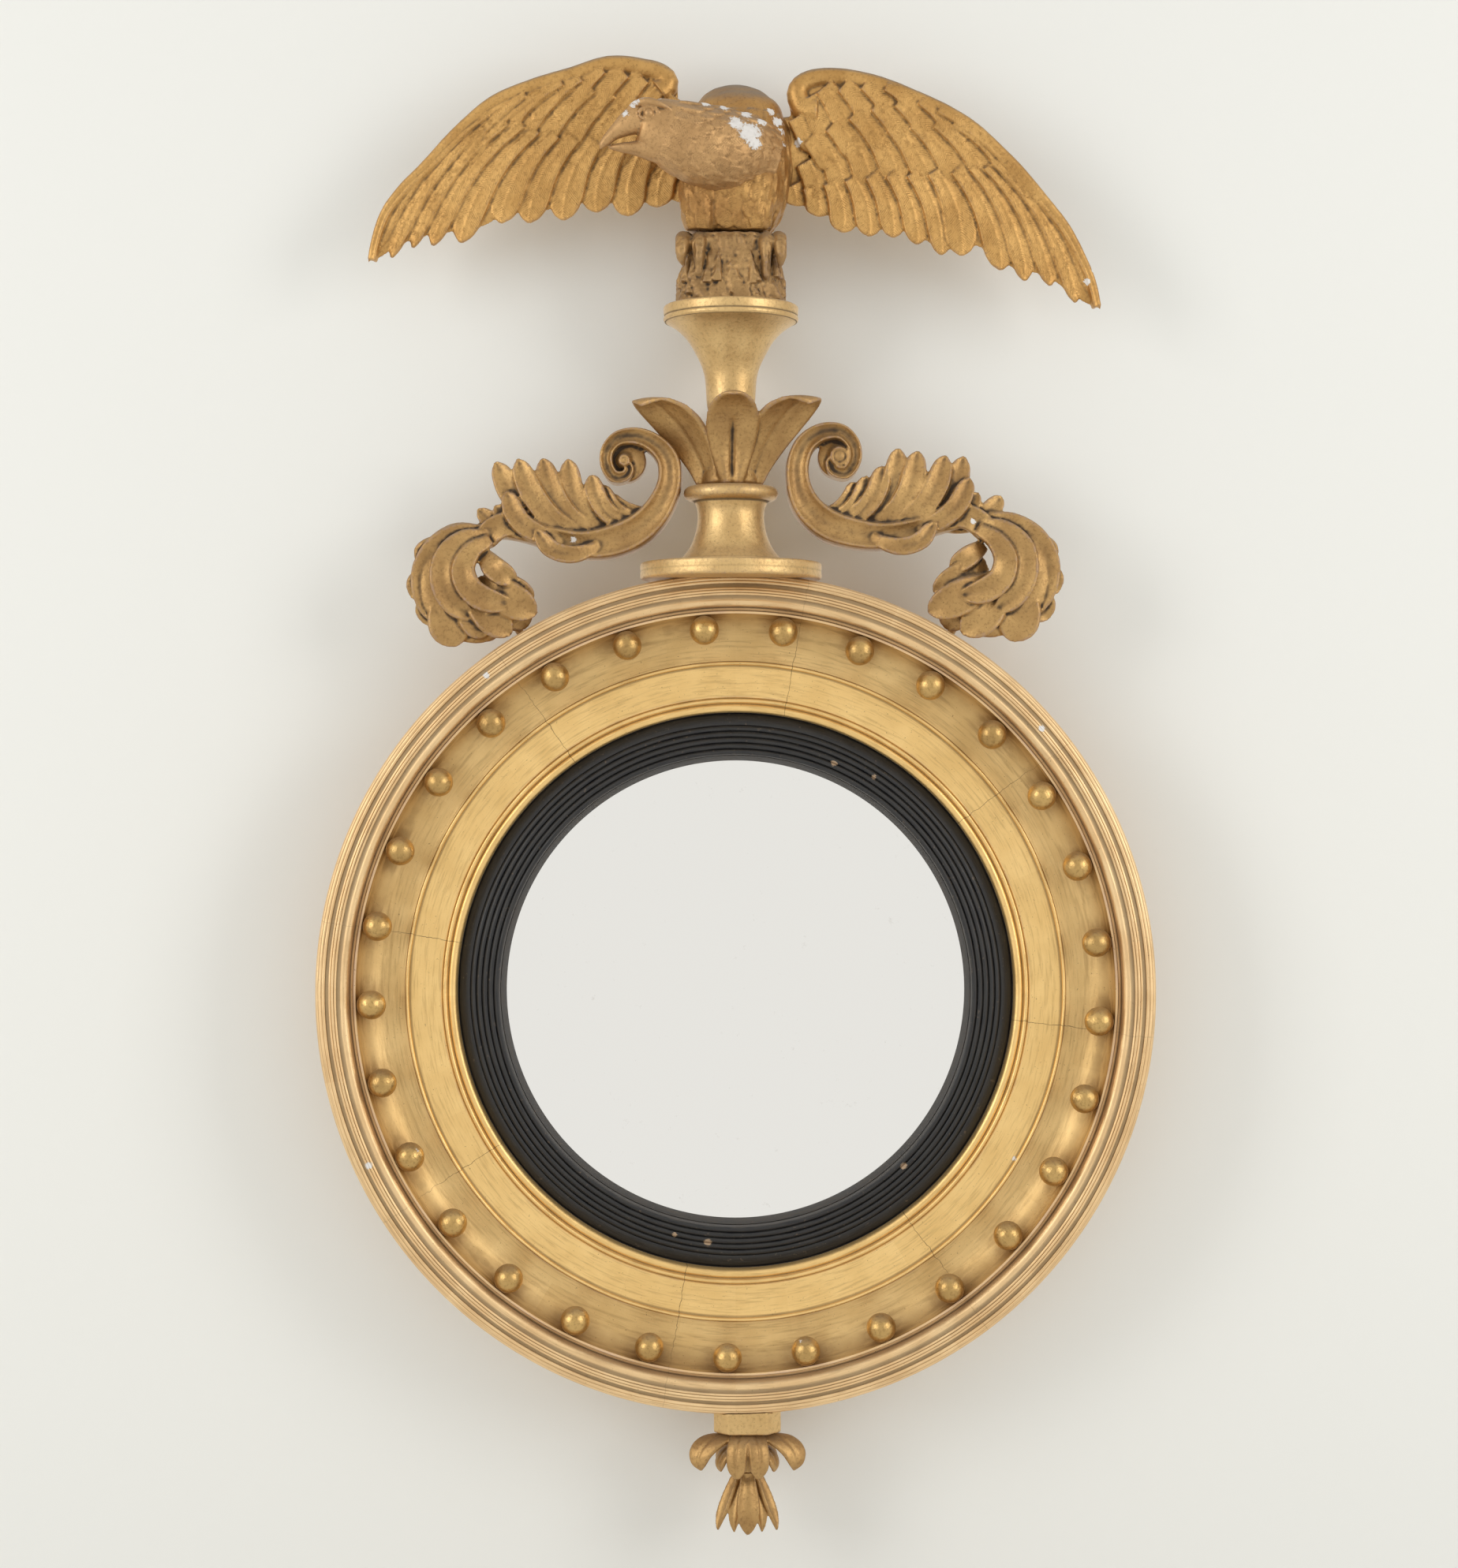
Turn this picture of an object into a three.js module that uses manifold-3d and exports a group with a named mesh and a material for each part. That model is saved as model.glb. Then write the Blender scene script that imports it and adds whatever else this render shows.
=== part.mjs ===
// A round convex wall mirror in a carved and gilded frame with an eagle crest.
// All sizes are in millimetres. +Z is up, the glass faces -Y and the wall is the plane y = 0.
// The origin is the centre of the round frame on the wall. "Depth" is a distance from the wall,
// so a point at a depth d has y = -d. Ring sections are written as [radius, depth].

import * as THREE from 'three';
import { mergeVertices } from 'three/addons/utils/BufferGeometryUtils.js';
import Module from 'manifold-3d';

const wasm = await Module();
wasm.setup();

// ---------------------------------------------------------------------------- driving dimensions

const clearance = 0.3;          // gap between two pieces that touch
const ringSegments = 48;        // flats round the frame
const coveSteps = 4;            // flats across the hollow
const limbSides = 6;            // flats round a carved limb
const turnedSegments = 24;      // flats round a turned crest piece
const glassRings = 3;           // steps from the middle of the glass to its edge

// widths of the frame's bands, from the glass outwards
const sightRadius = 178;        // clear opening, a 14 inch sight
const slipWidth = 32;           // black reeded slip
const sightBeadWidth = 10.5;    // gilt bead next to the slip
const friezeWidth = 25;         // flat gilt band
const stepWidth = 2.5;          // raised line at the joint of the two rings
const coveWidth = 35;           // hollow that holds the balls
const filletWidth = 2;          // thin line outside the hollow
const recessWidth = 3;          // dark recess inside the outer moulding
const innerReedRadius = 3.5;
const bandReedRadius = 5;
const outerReedRadius = 6;
const bandReedFrom = 40;         // degrees; the band's rounded face runs between these angles
const outerReedFrom = -60;       // and the outer reed's between these, from the side to the front
const outerReedTo = 110;
const innerReedLap = 1;         // the reeds run into each other by this much
const outerReedLap = 3.5;

// depths from the wall
const backboardThickness = 8;
const ledgeThickness = 16;      // wood behind the ledge that the inner ring rests on
const glassThickness = 3;
const glassCrown = 25;          // how far the middle of the glass stands proud of its edge
const retainerThickness = 8.4;
const slipEdgeHeight = 14;      // sight edge of the slip, proud of the glass edge
const lipHeight = 5.4;          // sight lip above the slip's flange
const friezeHeight = 31;        // flat band above the ledge
const stepHeight = 3.5;         // raised line above the flat band
const coveRadius = 30;
const coveDrop = 2;             // inner edge of the hollow below the raised line
const coveRise = 20;            // outer edge of the hollow above its inner edge
const recessDrop = 5;
const reedDepth = 80;           // widest line of the outer moulding
const reedLift = 3.5;           // inner reeds stand this much prouder than the outer one
const sideTaper = 14.6;         // the side runs in towards the wall by this much

const rebateWidth = 4;          // slip flange under the sight lip
const glassCover = 12.5;        // glass hidden by the slip
const retainerWidth = 44;
const ledgeWidth = 8;           // the ledge laps behind the retainer
const backboardLap = 18;         // the backboard laps over the frame's back by this much
const backboardEase = 2;

// balls in the hollow
const ballCount = 29;
const ballSides = 8;
const tenonSides = 6;
const ballRadius = 11;
const ballOutset = 22.9;         // the balls' circle outside the inner edge of the hollow
const ballPhase = 7.5;          // degrees clockwise from the top to the first ball
const tenonRadius = 2.6;
const tenonLength = 9;

// turned crest
const crestShift = -3.5;        // the crest stands a little to the left of the centre line
const crestDepth = 62;          // depth of the crest's upright axis
const plinthSink = 3.5;         // the plinth is notched over the rim by this much
const plinthRadius = 68;
const plinthHeight = 12.3;
const pedestalHeight = 57;
const pedestalFootRadius = 38.5;
const pedestalWaistRadius = 25;
const pedestalBeadRadius = 5.3;
const pedestalHeadRadius = 35.5;
const calyxFootHeight = 14;
const calyxFootRadius = 22;
const neckRadius = 18.6;
const stemTailRadius = 13.5;
const stemHeight = 120.5;
const stemDiscRadius = 50.6;
const stemDiscHeight = 12.4;
const perchHeight = 52.6;
const rodRadius = 5;
const rodSink = 25;             // the rod runs this far below the plinth
const rodRise = 24;             // and this far into the eagle's body

// calyx leaves, as azimuths in degrees from the front towards the right
const calyxLeafAzimuths = [2, 57, 118, 166, 232, 288];
const calyxLeafReach = 70;      // how far a leaf tip stands out from the crest's axis
const calyxWallGap = 5;         // leaves at the back stop this far in front of the wall
const calyxLeafRise = 52;       // height of a leaf above the calyx's foot
const calyxLeafHalfWidth = 19;
const calyxLeafHalfThickness = 3.5;

// scrolls
const scrollReach = 240;        // from the crest's axis to the end of a scroll; it sets a scroll's size
const scrollHalfDepth = 15;
const scrollSteps = 38;         // flats along a scroll
const leafFront = 14;           // carved leaf stands this far in front of the crest's axis
const leafBack = 9;
const leafBevel = 3;
const pegRadius = 4;
const pegAngle = 31.6;          // degrees from the top to the place where the leaf rests on the rim
const pegSink = 8;
const pegHold = 18;
const pegSetback = 4;

// eagle
const eagleHeight = 111;        // from the perch to the top of the back; it sets the eagle's size
const perchHalfWidth = 42;
const perchHalfDepth = 38;
const perchSides = 12;
const perchSquareness = 0.6;    // 1 would be oval and less is boxier
const tenonHalfHeight = 20;
const wingTenonHalfThickness = 5;
const wingHalfThickness = 8;
const wingTipHalfThickness = 2.5;
const feathersPerWing = 11;
const featherStep = 3;          // sections along the wing for each feather
const scallopDepth = 9;         // notches between the feather tips
const featherGroove = 0.7;      // thickness of the wing between two feathers, as a share
const wingBow = 4;              // the middle of a wing stands this much forward of its ends
const wingRollRadius = 9;       // rolled leading edge at the shoulder
const wingRollTipRadius = 3;

// pendant
const pendantShift = 8.7;       // the pendant hangs a little to the right of the centre line
const pendantBlockHalfWidth = 25;
const pendantBlockHalfDepth = 22;
const pendantBlockCant = 11;
const pendantBlockDrop = 15.3;  // below the rim
const pendantBlockRise = 16;    // behind the rim
const pendantCoreRadius = 11;
const pendantLeavesHeight = 30;
const pendantLeafReach = 39;    // how far a curling leaf stands out from the pendant's axis
const budHeight = 46;
const budCoreRadius = 9;
const dowelRadius = 4;
const dowelRise = 24;           // above the lowest point of the rim
const dowelDrop = 12;           // into the bud

// hanging hardware on the back
const strapHalfWidth = 10;
const strapThickness = 2.4;
const strapDrop = 48;           // below the plinth
const hangerAngle = 62;         // degrees from the top
const hangerOutset = 40;        // a plate's screw outside the backboard's edge
const plateHalfWidth = 7.5;
const plateThickness = 1.6;
const plateUp = 9;              // plate above its screw
const plateDown = 17;           // hinge line below the screw
const wireRadius = 1.6;
const knuckleWall = 1.6;
const knuckleHalfLength = 6;
const ringBarHalfLength = 9.5;
const ringBend = 12.5;          // radius of the round part of a hanging ring
const ringDrop = 14;            // hinge line to the middle of the round part
const ringLoopStart = 20;       // degrees; the round part bends into the straight bar here
const ringLoopStep = 22;
const screwRadius = 1.9;
const screwHeadRadius = 3.7;
const screwHeadHeight = 1.5;
const screwPointLength = 3;
const plateScrewLength = 18;
const strapScrewLength = 24;

// ---------------------------------------------------------------------------- sizes that follow

const slipOuterRadius = sightRadius + slipWidth;
const friezeInnerRadius = slipOuterRadius + sightBeadWidth;
const friezeOuterRadius = friezeInnerRadius + friezeWidth;
const innerRingRadius = friezeOuterRadius + stepWidth;
const coveInnerRadius = innerRingRadius + clearance;
const coveOuterRadius = innerRingRadius + coveWidth;
const ballPitchRadius = coveInnerRadius + ballOutset;
const recessInnerRadius = coveOuterRadius + filletWidth;
const recessOuterRadius = recessInnerRadius + recessWidth;
const innerReedCentre = recessOuterRadius + innerReedRadius;
const bandReedCentre = innerReedCentre + innerReedRadius + bandReedRadius - innerReedLap;
const outerReedCentre = bandReedCentre + bandReedRadius + outerReedRadius - outerReedLap;
const rimRadius = outerReedCentre + outerReedRadius;
const sideRadius = rimRadius - sideTaper;

const rebateRadius = slipOuterRadius + rebateWidth + clearance;
const flangeRadius = slipOuterRadius + rebateWidth;
const backboardRadius = flangeRadius + backboardLap;
const hangerRadius = backboardRadius + hangerOutset;
const glassRadius = sightRadius + glassCover;
const retainerInnerRadius = flangeRadius - retainerWidth;
const ledgeRadius = flangeRadius - ledgeWidth;

const frameBack = backboardThickness + clearance;
const ledgeDepth = frameBack + ledgeThickness;
const innerRingBack = ledgeDepth + clearance;
const retainerFront = innerRingBack + retainerThickness;
const glassEdgeBack = retainerFront + clearance;
const glassEdgeFront = glassEdgeBack + glassThickness;
const slipFlangeFront = glassEdgeFront + lipHeight;
const lipBack = slipFlangeFront + clearance;
const slipSightDepth = glassEdgeFront + slipEdgeHeight;
const friezeDepth = innerRingBack + friezeHeight;
const stepDepth = friezeDepth + stepHeight;
const coveInnerDepth = stepDepth - coveDrop;
const coveOuterDepth = coveInnerDepth + coveRise;
const glassSphereRadius = (glassRadius ** 2 + glassCrown ** 2) / (2 * glassCrown);

const crestBase = rimRadius - plinthSink;
const pedestalBase = plinthHeight + clearance;
const calyxBase = pedestalBase + pedestalHeight + clearance;
const stemBase = calyxBase + calyxFootHeight + clearance;
const perchBase = stemBase + stemHeight + clearance;
const eagleBase = perchBase + perchHeight + clearance;
const boreRadius = rodRadius + clearance;

// ---------------------------------------------------------------------------- materials

const gilt = new THREE.MeshStandardMaterial({ color: 0xcfa966, metalness: 0.8, roughness: 0.42 });
const carvedGilt = new THREE.MeshStandardMaterial({ color: 0xa87c40, metalness: 0.7, roughness: 0.5 });
const ebonised = new THREE.MeshStandardMaterial({ color: 0x29292a, metalness: 0, roughness: 0.35 });
const silvered = new THREE.MeshStandardMaterial({ color: 0xdedfda, metalness: 1, roughness: 0.03 });
const pine = new THREE.MeshStandardMaterial({ color: 0x8a6844, metalness: 0, roughness: 0.8 });
const iron = new THREE.MeshStandardMaterial({ color: 0x3c3835, metalness: 0.9, roughness: 0.6 });
const brass = new THREE.MeshStandardMaterial({ color: 0x9c7f45, metalness: 1, roughness: 0.4 });

// ---------------------------------------------------------------------------- shape helpers

const point = (x, y, z) => new THREE.Vector3(x, y, z);
const radians = (degrees) => THREE.MathUtils.degToRad(degrees);

// Volume enclosed by a closed mesh; it is negative where the faces point inwards.
function signedVolume(positions, faces) {
  const corner = (index) => new THREE.Vector3().fromBufferAttribute(positions, index);
  let volume = 0;
  for (let i = 0; i < faces.length; i += 3) {
    const cross = corner(faces[i + 1]).cross(corner(faces[i + 2]));
    volume += corner(faces[i]).dot(cross) / 6;
  }
  return volume;
}

// A mesh with shared vertices merged, no faces without area, and its faces pointing out.
function weld(geometry) {
  const bare = geometry.clone();
  bare.deleteAttribute('normal');
  bare.deleteAttribute('uv');
  const merged = mergeVertices(bare, 1e-4);
  const faces = [];
  const index = merged.index.array;
  for (let i = 0; i < index.length; i += 3) {
    const [a, b, c] = [index[i], index[i + 1], index[i + 2]];
    if (a !== b && b !== c && c !== a) faces.push(a, b, c);
  }
  const inwards = signedVolume(merged.attributes.position, faces) < 0;
  merged.setIndex(inwards ? faces.reverse() : faces);
  return merged;
}

// A closed mesh as a solid that can be joined and cut.
function solid(geometry) {
  const welded = weld(geometry);
  return new wasm.Manifold(new wasm.Mesh({
    numProp: 3,
    vertProperties: new Float32Array(welded.attributes.position.array),
    triVerts: new Uint32Array(welded.index.array),
  }));
}

function joined(solids) {
  return solids.reduce((whole, piece) => whole.add(piece));
}

function cut(body, tools) {
  return tools.reduce((rest, tool) => rest.subtract(tool), body);
}

function geometryOf(body) {
  const mesh = body.getMesh();
  const geometry = new THREE.BufferGeometry();
  geometry.setAttribute('position', new THREE.BufferAttribute(mesh.vertProperties, 3));
  geometry.setIndex(new THREE.BufferAttribute(mesh.triVerts, 1));
  return geometry;
}

// Points on an arc of a section; 0 degrees points away from the axis and 90 degrees forwards.
function arc(radius, depth, size, from, to, steps) {
  const points = [];
  for (let i = 0; i <= steps; i += 1) {
    const angle = radians(from + ((to - from) * i) / steps);
    points.push([radius + size * Math.cos(angle), depth + size * Math.sin(angle)]);
  }
  return points;
}

// A ring or disc about the frame's axis, from a section of [radius, depth] points.
function ring(section, segments = ringSegments) {
  const points = section.map(([radius, depth]) => new THREE.Vector2(radius, -depth));
  points.push(points[0].clone());
  return new THREE.LatheGeometry(points, segments);
}

// A piece turned about an upright axis, from a section of [radius, height] points.
function turned(section, segments = turnedSegments) {
  const points = section.map(([radius, height]) => new THREE.Vector2(radius, height));
  points.push(points[0].clone());
  return new THREE.LatheGeometry(points, segments).rotateX(Math.PI / 2);
}

// A round bar between two points.
function bar(from, to, radius, sides = 10) {
  const direction = to.clone().sub(from);
  const middle = from.clone().add(to).multiplyScalar(0.5);
  const turn = new THREE.Quaternion().setFromUnitVectors(point(0, 1, 0), direction.clone().normalize());
  return new THREE.CylinderGeometry(radius, radius, direction.length(), sides)
    .applyQuaternion(turn)
    .translate(middle.x, middle.y, middle.z);
}

// A closed skin over rings of points, with a flat end at each side.
function skin(rings) {
  const sides = rings[0].length;
  const geometry = new THREE.BufferGeometry().setFromPoints(rings.flat());
  const faces = [];
  for (let i = 0; i < rings.length - 1; i += 1) {
    for (let k = 0; k < sides; k += 1) {
      const a = i * sides + k;
      const b = i * sides + ((k + 1) % sides);
      faces.push(a, b, b + sides, a, b + sides, a + sides);
    }
  }
  const last = (rings.length - 1) * sides;
  for (let k = 1; k < sides - 1; k += 1) {
    faces.push(0, k + 1, k, last, last + k, last + k + 1);
  }
  geometry.setIndex(faces);
  return geometry;
}

// An oval section about a centre; squareness 1 is an ellipse and less is boxier.
function oval(centre, across, through, sides, squareness = 1) {
  const points = [];
  for (let k = 0; k < sides; k += 1) {
    const angle = (2 * Math.PI * (k + 0.5)) / sides;
    const c = Math.sign(Math.cos(angle)) * Math.abs(Math.cos(angle)) ** squareness;
    const s = Math.sign(Math.sin(angle)) * Math.abs(Math.sin(angle)) ** squareness;
    points.push(centre.clone().addScaledVector(across, c).addScaledVector(through, s));
  }
  return points;
}

// A carved limb: rows of [x, y, z, half width in the plane of the wall, half depth] with a smooth
// line through them. Grow makes it fatter all round, to cut a seat for it in its neighbour.
function limb(rows, steps, sides, grow = 0) {
  const path = new THREE.CatmullRomCurve3(rows.map(([x, y, z]) => point(x, y, z)), false, 'centripetal');
  const sizes = new THREE.CatmullRomCurve3(rows.map((row) => point(row[3], row[4], 0)));
  const rings = [];
  for (let i = 0; i <= steps; i += 1) {
    const share = i / steps;
    const centre = path.getPoint(share);
    const along = path.getTangent(share);
    const forward = point(0, -1, 0);
    const through = forward.addScaledVector(along, -forward.dot(along)).normalize();
    const across = along.clone().cross(through).normalize();
    const size = sizes.getPoint(share);
    if (i === 0) centre.addScaledVector(along, -grow);
    if (i === steps) centre.addScaledVector(along, grow);
    rings.push(oval(centre, across.multiplyScalar(size.x + grow),
      through.multiplyScalar(size.y + grow), sides));
  }
  return skin(rings);
}

// A flat carving: an outline of [x, z] points between two planes, with its edges eased.
function slab(outline, front, back, bevel) {
  const shape = new THREE.Shape(outline.map(([x, z]) => new THREE.Vector2(x, z)));
  const geometry = new THREE.ExtrudeGeometry(shape, {
    depth: front + back - 2 * bevel,
    bevelThickness: bevel,
    bevelSize: bevel,
    bevelOffset: -bevel,
    bevelSegments: 1,
  });
  return geometry.rotateX(Math.PI / 2).translate(0, back - bevel, 0);
}

function mirrored(rows) {
  return rows.map(([x, ...rest]) => [-x, ...rest]);
}

// Carved shapes are drawn at one size and made at another.
function scaled(rows, size) {
  return rows.map((row) => row.map((value) => value * size));
}

// Moves a shape from the frame's own place to the place of the crest or the pendant.
const fromCrest = (geometry) => geometry.translate(-crestShift, crestDepth, -crestBase);
const fromPendant = (geometry) => geometry.translate(-pendantShift, crestDepth, rimRadius);

// ---------------------------------------------------------------------------- round frame

const coveCentre = (() => {
  const chordRadius = coveOuterRadius - coveInnerRadius;
  const chordDepth = coveOuterDepth - coveInnerDepth;
  const chord = Math.hypot(chordRadius, chordDepth);
  const rise = Math.sqrt(Math.max(coveRadius ** 2 - (chord / 2) ** 2, 0));
  return {
    radius: (coveInnerRadius + coveOuterRadius) / 2 - (rise * chordDepth) / chord,
    depth: (coveInnerDepth + coveOuterDepth) / 2 + (rise * chordRadius) / chord,
    size: Math.hypot(chord / 2, rise),
  };
})();

function coveSection() {
  const angleTo = (radius, depth) => THREE.MathUtils.radToDeg(
    Math.atan2(depth - coveCentre.depth, radius - coveCentre.radius));
  const from = angleTo(coveOuterRadius, coveOuterDepth);
  const to = angleTo(coveInnerRadius, coveInnerDepth);
  return arc(coveCentre.radius, coveCentre.depth, coveCentre.size, from, to, coveSteps);
}

// The flats of the ring and of its hollow stand this far inside the true curve.
const flatSag = coveOuterRadius * (1 - Math.cos(Math.PI / ringSegments))
  + coveCentre.size * (1 - Math.cos(radians(90 / coveSteps / 2)));

function outerReed(grow) {
  return arc(outerReedCentre, reedDepth, outerReedRadius + grow, outerReedFrom, outerReedTo, 3);
}

// The frame seen from outside as one closed disc, grown a little to cut seats for its neighbours.
function frameEnvelope(grow) {
  return ring([
    [0, frameBack - grow],
    [sideRadius + grow, frameBack - grow],
    ...outerReed(grow),
    [0, reedDepth + outerReedRadius + reedLift + grow],
  ]);
}

function placeOfBall(index) {
  const clockwise = radians(ballPhase + (360 * index) / ballCount);
  const seatRadius = coveCentre.size - ballRadius - clearance - flatSag;
  const outwards = Math.min((ballPitchRadius - coveCentre.radius) / seatRadius, 1);
  const backwards = Math.sqrt(1 - outwards ** 2);
  const depth = coveCentre.depth - seatRadius * backwards;
  const radial = point(Math.sin(clockwise), 0, Math.cos(clockwise));
  const centre = radial.clone().multiplyScalar(coveCentre.radius + seatRadius * outwards).setY(-depth);
  const inwards = radial.multiplyScalar(outwards).setY(backwards);
  return { centre, inwards };
}

function ballTenonHole(index) {
  const { centre, inwards } = placeOfBall(index);
  const end = centre.clone().addScaledVector(inwards, ballRadius + tenonLength + clearance);
  return solid(bar(centre, end, tenonRadius + clearance, tenonSides));
}

function frameRing() {
  const section = [
    [ledgeRadius, frameBack],
    [sideRadius, frameBack],
    ...outerReed(0),
    ...arc(bandReedCentre, reedDepth + reedLift, bandReedRadius, bandReedFrom, 180 - bandReedFrom, 2),
    ...arc(innerReedCentre, reedDepth + reedLift, innerReedRadius, 70, 180, 1),
    [recessOuterRadius, coveOuterDepth - recessDrop],
    [recessInnerRadius, coveOuterDepth - recessDrop],
    [recessInnerRadius, coveOuterDepth],
    ...coveSection(),
    [coveInnerRadius, ledgeDepth],
    [ledgeRadius, ledgeDepth],
  ];
  const holes = [];
  for (let i = 0; i < ballCount; i += 1) holes.push(ballTenonHole(i));
  holes.push(solid(crestRod(clearance).translate(crestShift, -crestDepth, crestBase)));
  holes.push(solid(pendantDowel(clearance).translate(pendantShift, -crestDepth, -rimRadius)));
  for (const side of [-1, 1]) {
    holes.push(solid(scrollPeg(side, clearance).translate(crestShift, -crestDepth, crestBase)));
    const { x, z } = hangerPlace(side);
    holes.push(solid(screwShank(plateScrewLength, clearance).translate(x, -frameBack, z)));
  }
  const strapZ = strapScrewHeights().lower;
  holes.push(solid(screwShank(strapScrewLength, clearance).translate(crestShift, -frameBack, strapZ)));
  return cut(solid(ring(section)), holes);
}

function friezeRing() {
  return solid(ring([
    [rebateRadius, innerRingBack],
    [innerRingRadius, innerRingBack],
    [innerRingRadius, stepDepth],
    [friezeOuterRadius, stepDepth],
    [friezeOuterRadius, friezeDepth],
    [friezeInnerRadius, friezeDepth - 1],
    [friezeInnerRadius - sightBeadWidth * 0.15, friezeDepth - 3],
    [friezeInnerRadius - sightBeadWidth * 0.5, friezeDepth - 3],
    [slipOuterRadius + sightBeadWidth * 0.2, lipBack + 5],
    [slipOuterRadius, lipBack + 2],
    [slipOuterRadius, lipBack],
    [rebateRadius, lipBack],
  ]));
}

function glassFrontDepth(radius) {
  const edge = Math.sqrt(glassSphereRadius ** 2 - glassRadius ** 2);
  return glassEdgeFront + Math.sqrt(glassSphereRadius ** 2 - radius ** 2) - edge;
}

function ebonisedSlip() {
  const outer = slipOuterRadius - clearance;
  const rise = slipSightDepth - slipFlangeFront;
  const faceDepth = (share) => slipSightDepth - rise * share ** 1.6;
  const face = [];
  for (const share of [0, 0.2, 0.4, 0.6, 0.8]) {
    face.push([sightRadius + (outer - sightRadius) * share, faceDepth(share)]);
  }
  return solid(ring([
    [sightRadius, glassFrontDepth(sightRadius) + clearance],
    ...face,
    [outer, slipFlangeFront],
    [flangeRadius, slipFlangeFront],
    [flangeRadius, retainerFront + clearance],
    [glassRadius + clearance, retainerFront + clearance],
    [glassRadius + clearance, glassFrontDepth(glassRadius) + clearance],
  ]));
}

function mirrorPlate() {
  const front = [];
  const back = [];
  for (let i = 0; i <= glassRings; i += 1) {
    const radius = (glassRadius * i) / glassRings;
    front.push([radius, glassFrontDepth(radius)]);
    back.unshift([radius, glassFrontDepth(radius) - glassThickness]);
  }
  return solid(ring([...front, ...back]));
}

function glassRetainer() {
  return solid(ring([
    [retainerInnerRadius, innerRingBack],
    [flangeRadius, innerRingBack],
    [flangeRadius, retainerFront],
    [retainerInnerRadius, retainerFront],
  ]));
}

function backboard() {
  return solid(ring([
    [0, 0],
    [backboardRadius - backboardEase, 0],
    [backboardRadius, backboardEase],
    [backboardRadius, backboardThickness],
    [0, backboardThickness],
  ]));
}

// A turned ball with its tenon along +Y.
function turnedBall() {
  const ball = new THREE.SphereGeometry(ballRadius, ballSides, ballSides / 2 + 1);
  const tenonFoot = point(0, ballRadius - 2, 0);
  const tenonEnd = point(0, ballRadius + tenonLength, 0);
  const tenon = bar(tenonFoot, tenonEnd, tenonRadius, tenonSides);
  return geometryOf(joined([solid(ball), solid(tenon)]));
}

// ---------------------------------------------------------------------------- crest turnings

// The crest's pieces are written from the foot of the crest's upright axis.

function crestRod(grow = 0) {
  return bar(point(0, 0, -rodSink - grow), point(0, 0, eagleBase + rodRise + grow), rodRadius + grow);
}

function rodBore() {
  return solid(bar(point(0, 0, -rodSink), point(0, 0, eagleBase + rodRise + clearance), boreRadius));
}

function plinthDisc() {
  const ease = 1.6;
  const disc = solid(turned([
    [0, 0],
    [plinthRadius - ease, 0],
    [plinthRadius, ease],
    [plinthRadius, plinthHeight - ease],
    [plinthRadius - ease, plinthHeight],
    [0, plinthHeight],
  ], 36));
  const behind = new THREE.BoxGeometry(4 * plinthRadius, 2 * plinthRadius, 4 * plinthHeight)
    .translate(0, plinthRadius + crestDepth - frameBack, 0);
  const screw = screwShank(strapScrewLength, clearance)
    .translate(0, crestDepth - frameBack, strapScrewHeights().upper - crestBase);
  return cut(disc, [solid(behind), solid(fromCrest(frameEnvelope(clearance))), rodBore(), solid(screw)]);
}

function pedestal() {
  const top = pedestalBase + pedestalHeight;
  const beadCentre = pedestalHeadRadius - pedestalBeadRadius;
  const waist = pedestalBase + pedestalHeight * 0.56;
  return cut(solid(turned([
    [0, pedestalBase],
    [pedestalFootRadius, pedestalBase],
    [pedestalFootRadius - 1, pedestalBase + pedestalHeight * 0.08],
    [(pedestalFootRadius + pedestalWaistRadius) / 2, pedestalBase + pedestalHeight * 0.22],
    [pedestalWaistRadius + 1.6, pedestalBase + pedestalHeight * 0.38],
    [pedestalWaistRadius, waist],
    [pedestalWaistRadius + 1.2, top - 2 * pedestalBeadRadius - 1],
    ...arc(beadCentre, top - pedestalBeadRadius, pedestalBeadRadius, -70, 90, 4),
    [0, top],
  ])), [rodBore()]);
}

function stem(grow = 0) {
  const discBottom = stemHeight - stemDiscHeight;
  const section = [
    [0, -grow],
    [stemTailRadius, -grow],
    [stemTailRadius, stemHeight * 0.24],
    [neckRadius - 0.6, stemHeight * 0.37],
    [neckRadius, stemHeight * 0.46],
    [neckRadius + 1.5, stemHeight * 0.58],
    [neckRadius + 7.4, stemHeight * 0.7],
    [neckRadius + 16, stemHeight * 0.81],
    [neckRadius + 25.4, stemHeight * 0.875],
    [stemDiscRadius - 1, discBottom],
    [stemDiscRadius, discBottom + 1.4],
    [stemDiscRadius, stemHeight - 1.4],
    [stemDiscRadius - 1, stemHeight],
    [0, stemHeight],
  ];
  const grown = section.map(([radius, height]) => [radius > 0 ? radius + grow : 0, height + stemBase]);
  return solid(turned(grown));
}

function trumpetStem() {
  return cut(stem(), [rodBore()]);
}

// A leaf that leans out towards the wall is shorter, so that its tip stays in front of it.
function calyxReachAt(azimuth) {
  const backwards = -Math.cos(radians(azimuth));
  if (backwards <= 0) return calyxLeafReach;
  return Math.min(calyxLeafReach, (crestDepth - calyxWallGap) / backwards);
}

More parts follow.
